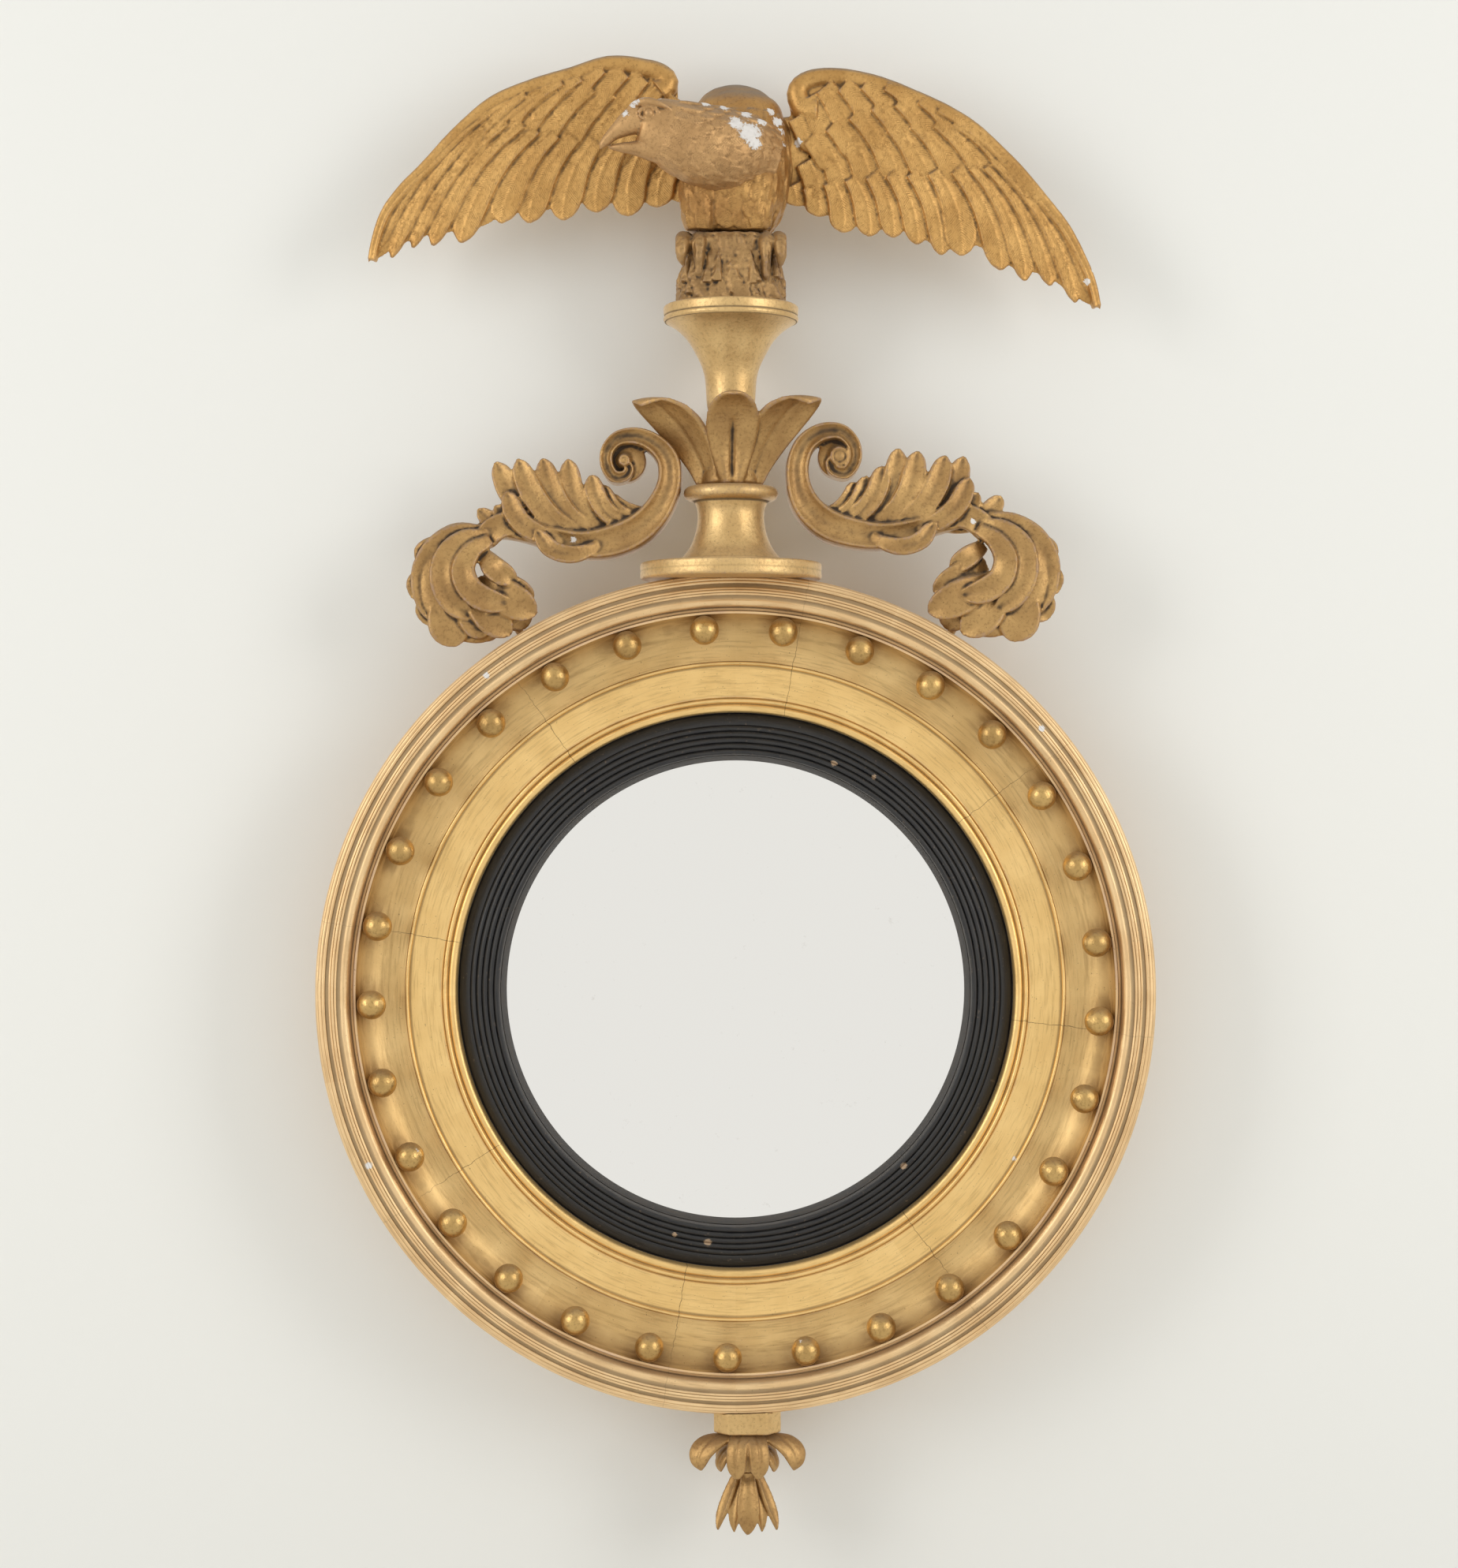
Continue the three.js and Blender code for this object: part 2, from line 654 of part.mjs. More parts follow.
// One calyx leaf, standing to the right of the axis; it leans out and its tip curls over.
function calyxLeaf(reach, grow) {
  const base = calyxBase;
  const rise = calyxLeafRise + calyxFootHeight;
  const [wide, thick] = [calyxLeafHalfWidth, calyxLeafHalfThickness];
  return limb([
    [calyxFootRadius * 0.75, 0, base + 1 + grow, thick, wide * 0.5],
    [calyxFootRadius, 0, base + rise * 0.25, thick, wide * 0.62],
    [reach * 0.44, 0, base + rise * 0.58, thick, wide],
    [reach * 0.62, 0, base + rise * 0.83, thick, wide],
    [reach * 0.85, 0, base + rise * 0.97, thick * 0.8, wide * 0.72],
    [reach * 0.97, 0, base + rise * 0.9, thick * 0.6, wide * 0.2],
  ], 7, limbSides, grow);
}

function calyx(grow = 0) {
  const foot = turned([
    [0, calyxBase],
    [calyxFootRadius + grow, calyxBase],
    [calyxFootRadius + grow, calyxBase + calyxFootHeight],
    [0, calyxBase + calyxFootHeight],
  ]);
  const leaves = calyxLeafAzimuths.map((azimuth) => solid(
    calyxLeaf(calyxReachAt(azimuth), grow).rotateZ(radians(azimuth - 90))));
  return joined([solid(foot), ...leaves]);
}

function leafCalyx() {
  return cut(calyx(), [stem(clearance), rodBore()]);
}

function rockPerch() {
  const waist = [[0, 1], [0.15, 0.975], [0.5, 0.89], [0.72, 0.91], [0.82, 1], [0.92, 0.975], [1, 0.81]];
  const rings = waist.map(([height, width]) => oval(point(0, 0, perchBase + height * perchHeight),
    point(perchHalfWidth * width, 0, 0), point(0, perchHalfDepth * width, 0), perchSides, perchSquareness));
  return cut(solid(skin(rings)), [rodBore()]);
}

// ---------------------------------------------------------------------------- scrolls

// The right scroll: from the eye of the volute round and down to the neck of the drooping leaf,
// as [x, y, z, half width, half depth] from the foot of the crest's axis.
const scrollDrawnReach = 240;
const scrollDrawnHalfDepth = 15;
const scrollLine = [
  [81, -3, 91, 4.5, 13], [74, -3, 88, 4.5, 13], [76, -3, 80, 5, 14], [85, -2, 78.5, 5.2, 15],
  [92, 0, 88, 5.2, 15], [91, 0, 101, 5.8, 15], [82, 0, 109, 6.5, 15], [70, 0, 109.5, 7.2, 15],
  [57, 0, 102, 8, 15], [50, 0, 89, 8.6, 15], [49.5, 0, 72, 9.5, 15], [56, 0, 54, 11.5, 15],
  [71, 0, 40, 12.5, 15], [90, 0, 32, 12, 15], [112, 0, 30, 10.5, 14], [135, 0, 32.5, 9.5, 13],
  [155, 0, 34, 8, 12], [174, 0, 34.5, 6.5, 10], [196, 0, 34, 7, 9],
];

// Outline of the leaves that rise from the scroll, and of the leaf that droops to the rim.
const risingLeaves = [
  [84, 46], [88, 62], [94, 70], [97, 62], [106, 79], [111, 66], [123, 92], [129, 76], [141, 92],
  [146, 78], [161, 90], [163, 76], [176, 89], [172, 66], [192, 57], [182, 42], [170, 32],
  [140, 30], [105, 36],
];
const droopingLeaf = [
  [186, 27], [190, 40], [204, 43], [220, 34], [235, 16], [239.5, -4], [236, -17], [228, -31],
  [214, -44], [206, -47], [200, -34], [186, -38], [168, -40], [147, -26], [148.5, -13],
  [158, -1], [164, 10], [181, 18],
];

// Peg under the drooping leaf that goes into the side of the frame.
function scrollPeg(side, grow = 0) {
  const angle = radians(pegAngle * side);
  const onRadius = (radius) => point(radius * Math.sin(angle) - crestShift, pegSetback,
    radius * Math.cos(angle) - crestBase);
  const surface = rimRadius - sideTaper * 0.55;
  return bar(onRadius(surface - pegSink - grow), onRadius(rimRadius + pegHold), pegRadius + grow, 8);
}

function scroll(side) {
  const place = (rows) => scaled(side < 0 ? mirrored(rows) : rows, scrollReach / scrollDrawnReach);
  const line = place(scrollLine);
  for (const row of line) row[4] *= scrollHalfDepth / scrollDrawnHalfDepth;
  const carving = joined([
    solid(limb(line, scrollSteps, limbSides)),
    solid(slab(place(risingLeaves), leafFront, leafBack, leafBevel)),
    solid(slab(place(droopingLeaf), leafFront, leafBack, leafBevel)),
  ]);
  const seats = [solid(fromCrest(frameEnvelope(clearance))), calyx(clearance)];
  return cut(carving, seats).add(solid(scrollPeg(side)));
}

// ---------------------------------------------------------------------------- eagle

// The eagle's pieces are written from the top of the perch, on the crest's axis, for an eagle of
// this height.
const eagleDrawnHeight = 111;
const atEagleSize = (rows) => scaled(rows, eagleHeight / eagleDrawnHeight);

function torso(grow = 0) {
  const rows = atEagleSize([[0, -1, 0, 26, 23], [9, -1, 0, 33, 29], [24, 1, -2, 41, 35],
    [44, 2, -4, 42, 38], [64, 3, -3, 40, 37], [84, 3, 2, 36, 33], [101, 3, 7, 30, 27],
    [111, 3, 10, 15, 14]]);
  const rings = rows.map(([z, x, y, halfWidth, halfDepth]) => oval(point(x, y, z + (z > 0 ? grow : -grow)),
    point(halfWidth + grow, 0, 0), point(0, halfDepth + grow, 0), 12));
  return solid(skin(rings).translate(0, 0, eagleBase));
}

function tail() {
  const rows = atEagleSize([[0, 20, 40, 14, 9], [0, 28, 14, 15, 6], [0, 38, -14, 17, 4],
    [0, 44, -34, 15, 2.5]]);
  return solid(limb(rows, 5, limbSides).translate(0, 0, eagleBase));
}

function neckAndHead(grow = 0) {
  return solid(limb(atEagleSize([
    [16, -14, 54, 25, 20], [4, -26, 58, 28, 24], [-16, -36, 59, 30, 24], [-38, -44, 63.5, 27, 22],
    [-55, -49, 69, 24, 19], [-69, -52, 70, 17.5, 15], [-80, -53, 64.5, 9.5, 8], [-88.5, -53, 58, 5.5, 5],
    [-94.5, -53, 53.5, 1.2, 1.2],
  ]), 16, 10, grow).translate(0, 0, eagleBase));
}

// Leading and trailing edge of each wing as [x, z], from the root to the tip.
const wings = {
  left: {
    leading: [[-38, 100], [-50, 124], [-66, 131], [-90, 134], [-121, 125], [-151, 116], [-181, 103],
      [-215, 73], [-249, 38], [-261, 21], [-272, -19]],
    trailing: [[-38, 28], [-60, 20], [-84, 16], [-107, 16], [-131, 14], [-156, 13], [-182, 8],
      [-208, -1], [-233, -9], [-253, -15], [-272, -19.5]],
    root: [[-12, 66], [-40, 68]],
  },
  right: {
    leading: [[44, 80], [56, 118], [75, 124], [94, 122], [117, 117], [139, 108], [165, 96], [200, 69],
      [238, 29], [264, -13], [277.7, -54]],
    trailing: [[44, 18], [58, 14], [76, 5], [98, 0], [120, -2], [143, -9], [166, -14], [190, -18],
      [219, -34], [248, -46], [277.5, -54.5]],
    root: [[14, 52], [46, 54]],
  },
};

function wingTenon(side, grow = 0) {
  const [inner, outer] = atEagleSize(wings[side].root);
  const rows = [inner, outer].map(([x, z]) => oval(
    point(x, 0, z), point(0, 0, tenonHalfHeight + grow), point(0, wingTenonHalfThickness + grow, 0), 8, 0.5));
  return solid(skin(rows).translate(0, 0, eagleBase));
}

function wingBlade(side) {
  const curve = (edge) => new THREE.CatmullRomCurve3(
    atEagleSize(edge).map(([x, z]) => point(x, 0, z)), false, 'centripetal');
  const leading = curve(wings[side].leading);
  const trailing = curve(wings[side].trailing);
  const count = feathersPerWing * featherStep;
  const rings = [];
  for (let i = 0; i <= count; i += 1) {
    const share = i / count;
    const front = leading.getPoint(share);
    const rear = trailing.getPoint(share);
    const scallop = scallopDepth * Math.abs(Math.sin((Math.PI * i) / featherStep)) * (1 - share * 0.6);
    if (i < count) rear.z -= scallop - scallopDepth * 0.5;
    const groove = i % featherStep === 0 ? featherGroove : 1;
    const half = groove * THREE.MathUtils.lerp(wingHalfThickness, wingTipHalfThickness, share);
    const centre = front.clone().add(rear).multiplyScalar(0.5);
    centre.y = -wingBow * Math.sin(Math.PI * share);
    rings.push(oval(centre, front.sub(rear).multiplyScalar(0.5), point(0, half, 0), limbSides));
  }
  return solid(skin(rings).translate(0, 0, eagleBase));
}

// The rolled leading edge, thick at the shoulder and thin at the tip.
function wingRoll(side) {
  const edge = atEagleSize(wings[side].leading);
  const last = edge.length - 1;
  const rows = edge.slice(1, last).map(([x, z], i) => {
    const size = THREE.MathUtils.lerp(wingRollRadius, wingRollTipRadius, i / last);
    return [x, -wingBow / 2, z - size * 0.8, size, size];
  });
  return solid(limb(rows, 14, limbSides).translate(0, 0, eagleBase));
}

function wing(side) {
  const blade = cut(wingBlade(side).add(wingRoll(side)), [torso(clearance), neckAndHead(clearance)]);
  return blade.add(wingTenon(side));
}

function eagleBody() {
  const body = torso().add(cut(tail(), [perchSpace()]));
  return cut(body, [neckAndHead(clearance), wingTenon('left', clearance),
    wingTenon('right', clearance), rodBore()]);
}

// The room that the perch takes up, a little larger than the perch itself.
function perchSpace() {
  const rings = [perchBase - 1, eagleBase].map((z) => oval(
    point(0, 0, z), point(perchHalfWidth + clearance, 0, 0), point(0, perchHalfDepth + clearance, 0),
    perchSides, perchSquareness));
  return solid(skin(rings));
}

// ---------------------------------------------------------------------------- pendant

// The pendant's pieces are written from the lowest point of the rim, on the pendant's axis.

function pendantDowel(grow = 0) {
  const end = -pendantBlockDrop - pendantLeavesHeight - dowelDrop;
  return bar(point(0, 0, end - grow), point(0, 0, dowelRise + grow), dowelRadius + grow);
}

function pendantBlock() {
  const [w, d, c] = [pendantBlockHalfWidth, pendantBlockHalfDepth, pendantBlockCant];
  const plan = [[-w + c, -d], [w - c, -d], [w, -d + c], [w, d], [-w, d], [-w, -d + c]];
  const shape = new THREE.Shape(plan.map(([x, y]) => new THREE.Vector2(x, y)));
  const block = new THREE.ExtrudeGeometry(shape, {
    depth: pendantBlockDrop + pendantBlockRise,
    bevelEnabled: false,
  }).translate(0, 0, -pendantBlockDrop);
  return cut(solid(block), [solid(fromPendant(frameEnvelope(clearance))), solid(pendantDowel(clearance))]);
}

// Leaves round a core: each is a limb that starts on the axis' right side and is turned in place.
function leafRing(rows, top, azimuths, steps) {
  return azimuths.map((azimuth) => solid(limb(rows, steps, limbSides)
    .translate(0, 0, top)
    .rotateZ(radians(azimuth - 90))));
}

const pendantLeafDrawnReach = 39;

function pendantLeaves() {
  const top = -pendantBlockDrop - clearance;
  const core = turned([[0, top], [pendantCoreRadius, top], [pendantCoreRadius, top - pendantLeavesHeight],
    [0, top - pendantLeavesHeight]], 12);
  const atLeafSize = (rows) => scaled(rows, pendantLeafReach / pendantLeafDrawnReach);
  const curling = leafRing(atLeafSize([[6, 0, -5, 4, 8], [20, 0, -4.6, 4, 10], [33, 0, -11, 4, 9],
    [39, 0, -23, 3, 5], [38.5, 0, -27, 1.5, 2]]), top, [80, 190, 282], 5);
  const hanging = leafRing(atLeafSize([[6, 0, -6, 4.5, 10], [17, 0, -6.5, 4.5, 15], [25, 0, -17, 5, 15],
    [24, 0, -30, 3, 9]]), top, [0], 5);
  const small = leafRing(atLeafSize([[8, 0, -16, 4, 6], [16, 0, -18, 4, 7], [22, 0, -27, 2, 3]]), top,
    [45, 130, 235, 318], 4);
  return cut(joined([solid(core), ...curling, ...hanging, ...small]), [solid(pendantDowel(clearance))]);
}

function pendantBud() {
  const top = -pendantBlockDrop - pendantLeavesHeight - 2 * clearance;
  const core = turned([[0, top], [budCoreRadius, top], [budCoreRadius + 1, top - budHeight * 0.4],
    [4, top - budHeight * 0.8], [0, top - budHeight * 0.85]], 12);
  const middle = leafRing([[6, 0, -2, 3.5, 6], [11, 0, -budHeight * 0.4, 4, 9],
    [11, 0, -budHeight * 0.8, 3, 7], [8, 0, -budHeight, 1, 1]], top, [0, 180], 5);
  const sides = leafRing([[6, 0, -3, 3, 5], [13, 0, -budHeight * 0.4, 3.5, 6.5],
    [20, 0, -budHeight * 0.75, 2.5, 4], [24, 0, -budHeight * 0.87, 1, 1]], top, [55, 105, 255, 305], 5);
  return cut(joined([solid(core), ...middle, ...sides]), [solid(pendantDowel(clearance))]);
}

// ---------------------------------------------------------------------------- hanging hardware

function hangerPlace(side) {
  const angle = radians(hangerAngle * side);
  return { x: hangerRadius * Math.sin(angle), z: hangerRadius * Math.cos(angle) };
}

function strapScrewHeights() {
  return { upper: crestBase + plinthHeight / 2, lower: crestBase - strapDrop * 0.8 };
}

// The shank of a wood screw that is driven forwards from y = 0.
function screwShank(length, grow = 0) {
  return bar(point(0, backboardThickness, 0), point(0, -length - grow, 0), screwRadius + grow, 8);
}

function woodScrew(length, plate) {
  const under = plate + 2 * clearance;
  const points = [
    [0, under + screwHeadHeight],
    [screwHeadRadius * 0.7, under + screwHeadHeight],
    [screwHeadRadius, under],
    [screwRadius, under],
    [screwRadius, screwPointLength - length],
    [0, -length],
  ].map(([radius, height]) => new THREE.Vector2(radius, height));
  return solid(new THREE.LatheGeometry(points, 8));
}

function crestStrap() {
  const { upper, lower } = strapScrewHeights();
  const top = crestBase + plinthHeight;
  const bottom = crestBase - strapDrop;
  const strap = new THREE.BoxGeometry(2 * strapHalfWidth, strapThickness, top - bottom)
    .translate(0, clearance + strapThickness / 2, (top + bottom) / 2);
  return cut(solid(strap), [upper, lower].map((z) => solid(
    screwShank(strapScrewLength, clearance).translate(0, 0, z))));
}

// Each hanging plate is written from its screw, on the back face of the frame.
const knuckleRadius = wireRadius + clearance + knuckleWall;
const hingeOffset = knuckleRadius + clearance;   // hinge line behind the frame's back face

function ringPlate() {
  const plate = new THREE.BoxGeometry(2 * plateHalfWidth, plateThickness, plateUp + plateDown)
    .translate(0, clearance + plateThickness / 2, (plateUp - plateDown) / 2);
  const hinge = (half) => [point(-half, hingeOffset, -plateDown), point(half, hingeOffset, -plateDown)];
  const knuckle = bar(...hinge(knuckleHalfLength), knuckleRadius, 12);
  const bore = bar(...hinge(2 * knuckleHalfLength), wireRadius + clearance, 12);
  const screwHole = screwShank(plateScrewLength, clearance);
  return cut(joined([solid(plate), solid(knuckle)]), [solid(bore), solid(screwHole)]);
}

// A closed wire: a straight bar through the knuckle and a round loop that hangs below it.
function hangingRing() {
  const line = [-1, -0.8, 0, 0.8, 1].map((share) => point(ringBarHalfLength * share, 0, 0));
  for (let degrees = ringLoopStart; degrees >= -180 - ringLoopStart; degrees -= ringLoopStep) {
    const across = ringBend * Math.cos(radians(degrees));
    const up = ringBend * Math.sin(radians(degrees));
    line.push(point(across, 0, up - ringDrop));
  }
  const path = new THREE.CatmullRomCurve3(line, true, 'centripetal');
  return solid(new THREE.TubeGeometry(path, 28, wireRadius, 6, true).translate(0, hingeOffset, -plateDown));
}

// ---------------------------------------------------------------------------- assembly

const mirror = new THREE.Group();

function place(parent, name, body, material) {
  const mesh = new THREE.Mesh(body.isBufferGeometry ? body : geometryOf(body), material);
  mesh.name = name;
  parent.add(mesh);
  return mesh;
}

function groupAt(x, y, z) {
  const group = new THREE.Group();
  group.position.set(x, y, z);
  mirror.add(group);
  return group;
}

function addFrame() {
  place(mirror, 'frame_ring', frameRing(), gilt);
  place(mirror, 'frieze_ring', friezeRing(), gilt);
  place(mirror, 'ebonised_slip', ebonisedSlip(), ebonised);
  place(mirror, 'mirror_plate', mirrorPlate(), silvered);
  place(mirror, 'glass_retainer', glassRetainer(), pine);
  place(mirror, 'backboard', backboard(), pine);
}

function addBalls() {
  const shape = turnedBall();
  for (let i = 0; i < ballCount; i += 1) {
    const { centre, inwards } = placeOfBall(i);
    const ball = place(mirror, `ball_${String(i + 1).padStart(2, '0')}`, shape, gilt);
    ball.position.copy(centre);
    ball.quaternion.setFromUnitVectors(point(0, 1, 0), inwards);
  }
}

function addCrest() {
  const crest = groupAt(crestShift, -crestDepth, crestBase);
  place(crest, 'plinth_disc', plinthDisc(), gilt);
  place(crest, 'pedestal', pedestal(), gilt);
  place(crest, 'leaf_calyx', leafCalyx(), gilt);
  place(crest, 'trumpet_stem', trumpetStem(), gilt);
  place(crest, 'rock_perch', rockPerch(), carvedGilt);
  place(crest, 'scroll_left', scroll(-1), carvedGilt);
  place(crest, 'scroll_right', scroll(1), carvedGilt);
  place(crest, 'eagle_body', eagleBody(), carvedGilt);
  place(crest, 'eagle_head', neckAndHead(), carvedGilt);
  place(crest, 'wing_left', wing('left'), carvedGilt);
  place(crest, 'wing_right', wing('right'), carvedGilt);
  place(crest, 'crest_rod', solid(crestRod()), iron);
}

function addPendant() {
  const pendant = groupAt(pendantShift, -crestDepth, -rimRadius);
  place(pendant, 'pendant_block', pendantBlock(), gilt);
  place(pendant, 'pendant_leaves', pendantLeaves(), carvedGilt);
  place(pendant, 'pendant_bud', pendantBud(), carvedGilt);
  place(pendant, 'pendant_dowel', solid(pendantDowel()), pine);
}

function addStrap() {
  const back = groupAt(crestShift, -frameBack, 0);
  place(back, 'crest_strap', crestStrap(), iron);
  const heights = strapScrewHeights();
  for (const end of ['upper', 'lower']) {
    const screw = place(back, `strap_screw_${end}`, woodScrew(strapScrewLength, strapThickness), iron);
    screw.position.z = heights[end];
  }
}

function addHangers() {
  for (const [side, name] of [[-1, 'left'], [1, 'right']]) {
    const { x, z } = hangerPlace(side);
    const hanger = groupAt(x, -frameBack, z);
    place(hanger, `ring_plate_${name}`, ringPlate(), brass);
    place(hanger, `plate_screw_${name}`, woodScrew(plateScrewLength, plateThickness), iron);
    place(hanger, `hanging_ring_${name}`, hangingRing(), brass);
  }
}

addFrame();
addBalls();
addCrest();
addPendant();
addStrap();
addHangers();

export default mirror;
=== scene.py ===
"""A round convex wall mirror in a carved and gilded frame with an eagle crest, on a pale wall.

Mesh code works in millimetres in the part's own frame: +X to the right, -Y out of the wall, +Z up,
from the centre of the round frame on the wall. A depth is a distance from the wall.
"""

import math

import bpy
import numpy as np
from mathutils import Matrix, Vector
from mathutils.kdtree import KDTree


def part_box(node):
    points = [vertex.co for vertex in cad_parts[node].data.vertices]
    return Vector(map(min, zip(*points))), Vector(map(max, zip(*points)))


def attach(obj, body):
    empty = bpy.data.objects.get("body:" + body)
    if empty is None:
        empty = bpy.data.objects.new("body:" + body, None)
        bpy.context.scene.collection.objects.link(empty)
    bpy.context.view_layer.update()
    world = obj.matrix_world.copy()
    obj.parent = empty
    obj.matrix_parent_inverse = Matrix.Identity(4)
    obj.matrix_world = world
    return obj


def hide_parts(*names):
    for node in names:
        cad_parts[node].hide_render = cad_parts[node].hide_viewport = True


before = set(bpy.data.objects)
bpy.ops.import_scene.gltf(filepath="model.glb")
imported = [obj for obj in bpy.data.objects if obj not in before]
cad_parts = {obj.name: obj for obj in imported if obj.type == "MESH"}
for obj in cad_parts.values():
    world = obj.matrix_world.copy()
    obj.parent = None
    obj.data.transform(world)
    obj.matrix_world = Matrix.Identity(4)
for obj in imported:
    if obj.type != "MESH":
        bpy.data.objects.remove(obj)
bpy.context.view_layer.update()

MM = 0.001
BODY = "mirror"

# ------------------------------------------------------------------ places taken from the frame


def node_box(node):
    """Lowest and highest corner of a node, in millimetres."""
    low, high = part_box(node)
    return np.array(low) / MM, np.array(high) / MM


RIM = node_box("frame_ring")[1][0]
FRAME_BACK = -node_box("frame_ring")[1][1]
PEDESTAL, PENDANT_BLOCK = node_box("pedestal"), node_box("pendant_block")
CREST_X = (PEDESTAL[0][0] + PEDESTAL[1][0]) / 2
AXIS_DEPTH = -(PEDESTAL[0][1] + PEDESTAL[1][1]) / 2
PEDESTAL_Z, PEDESTAL_TOP = PEDESTAL[0][2], PEDESTAL[1][2]
CALYX_Z = node_box("leaf_calyx")[0][2]
STEM_Z, STEM_TOP = (corner[2] for corner in node_box("trumpet_stem"))
PERCH_Z, PERCH_TOP = (corner[2] for corner in node_box("rock_perch"))
PENDANT_X = (PENDANT_BLOCK[0][0] + PENDANT_BLOCK[1][0]) / 2
PENDANT_Z = PENDANT_BLOCK[0][2]
BUD_TOP = node_box("pendant_bud")[1][2]
TOUCH = 0.3                      # gap between pieces that touch
EAGLE_Z = PERCH_TOP + TOUCH
PLINTH_HEIGHT = 12.3
CREST_FOOT = PEDESTAL_Z - TOUCH - PLINTH_HEIGHT   # underside of the plinth disc

# ------------------------------------------------------------------ mesh helpers


def spline(rows, count):
    """Rows of numbers, each starting with a point, on a smooth line at equal steps of its length."""
    rows = np.array(rows, float)
    gaps = np.linalg.norm(np.diff(rows[:, :3], axis=0), axis=1)
    knots = np.concatenate([[0], np.cumsum(gaps)])
    slopes = np.gradient(rows, knots, axis=0)
    at = np.linspace(0, knots[-1], count)
    i = np.clip(np.searchsorted(knots, at, side="right") - 1, 0, len(gaps) - 1)
    gap = gaps[i][:, None]
    s = (at - knots[i])[:, None] / gap
    start = (2 * s**3 - 3 * s**2 + 1) * rows[i] + (s**3 - 2 * s**2 + s) * gap * slopes[i]
    end = (3 * s**2 - 2 * s**3) * rows[i + 1] + (s**3 - s**2) * gap * slopes[i + 1]
    return start + end


def unit(vectors):
    return vectors / np.maximum(np.linalg.norm(vectors, axis=-1, keepdims=True), 1e-9)


def directions(points, face=None, across=None):
    """Unit vectors across and out of a line that either faces one way or lies in one plane."""
    along = unit(np.gradient(points, axis=0))
    if across is None:
        face = np.broadcast_to(np.array(face, float), along.shape)
        out = unit(face - along * np.sum(face * along, axis=1, keepdims=True))
        return np.cross(along, out), out
    across = np.broadcast_to(np.array(across, float), along.shape)
    return across, np.cross(across, along)


def shell(rings, marks=None):
    """A closed skin over rings of points, as (points, faces, marks). Marks ride along to the mesh."""
    rings = np.array(rings, float)
    count, sides = rings.shape[:2]
    points = rings.reshape(-1, 3)
    row, side = np.meshgrid(np.arange(count - 1), np.arange(sides), indexing="ij")
    a, b = (row * sides + side).ravel(), (row * sides + (side + 1) % sides).ravel()
    faces = np.stack([a, b, b + sides, a + sides], axis=1).tolist()
    ends = len(points)
    points = np.vstack([points, rings[0].mean(0), rings[-1].mean(0)])
    last = (count - 1) * sides
    for k in range(sides):
        after = (k + 1) % sides
        faces.append([after, k, ends])
        faces.append([last + k, last + after, ends + 1])
    marks = np.zeros((count * sides, 2)) if marks is None else np.reshape(marks, (-1, 2))
    return outward(points, faces) + (np.vstack([marks, np.zeros((2, 2))]),)


def outward(points, faces):
    """The same skin with its faces pointing out."""
    corners = np.array([f[:3] for f in faces] + [[f[0], f[2], f[3]] for f in faces if len(f) == 4])
    a, b, c = (points[corners[:, k]] for k in range(3))
    if np.einsum("ij,ij->i", a, np.cross(b, c)).sum() < 0:
        faces = [f[::-1] for f in faces]
    return points, faces


def lathe(section, segments, about="y", closed=True):
    """A piece turned about an axis, from [radius, depth] points about Y or [radius, height] about Z."""
    section = np.array(section, float)
    angle = np.linspace(0, 2 * np.pi, segments, endpoint=False)
    radius = np.maximum(section[:, 0], 0)[None, :]
    reach = np.broadcast_to(section[:, 1][None, :], (segments, len(section)))
    wide, deep = np.sin(angle)[:, None] * radius, np.cos(angle)[:, None] * radius
    points = np.stack([wide, -reach, deep] if about == "y" else [wide, -deep, reach], axis=2).reshape(-1, 3)
    count = len(section)
    seg, row = np.meshgrid(np.arange(segments), np.arange(count if closed else count - 1), indexing="ij")
    here, after = seg * count, (seg + 1) % segments * count
    across = (row + 1) % count
    corners = here + row, here + across, after + across, after + row
    faces = np.stack([corner.ravel() for corner in corners], axis=1).tolist()
    return outward(points, faces) + (np.zeros((len(points), 2)),)


def arc(radius, depth, size, start, end, steps):
    """Points on an arc of a section; 0 degrees points away from the axis and 90 degrees forwards."""
    angles = np.radians(np.linspace(start, end, steps + 1))
    return [[radius + size * math.cos(a), depth + size * math.sin(a)] for a in angles]


def straight(*parts):
    """Points on straight lines from corner to corner, given in turn with the steps between them. The
    last corner is left out, because what follows starts there."""
    points = []
    for (x, y), steps, (to_x, to_y) in zip(parts[:-2:2], parts[1:-1:2], parts[2::2]):
        points += [[x + (to_x - x) * i / steps, y + (to_y - y) * i / steps] for i in range(steps)]
    return points


def turned(keys, count):
    """Points of a turned section on a smooth line through a few [radius, height] points."""
    return spline([[*key, 0] for key in keys], count)[:, :2].tolist()


def moved(piece, offset=(0, 0, 0), turn=0.0):
    """A shell turned about +Z by degrees from the front towards the right, then moved."""
    points, faces, marks = piece
    c, s = math.cos(math.radians(turn)), math.sin(math.radians(turn))
    x, y, z = points.T
    turned_points = np.stack([x * c - y * s, x * s + y * c, z], axis=1)
    return turned_points + np.array(offset, float), faces, marks


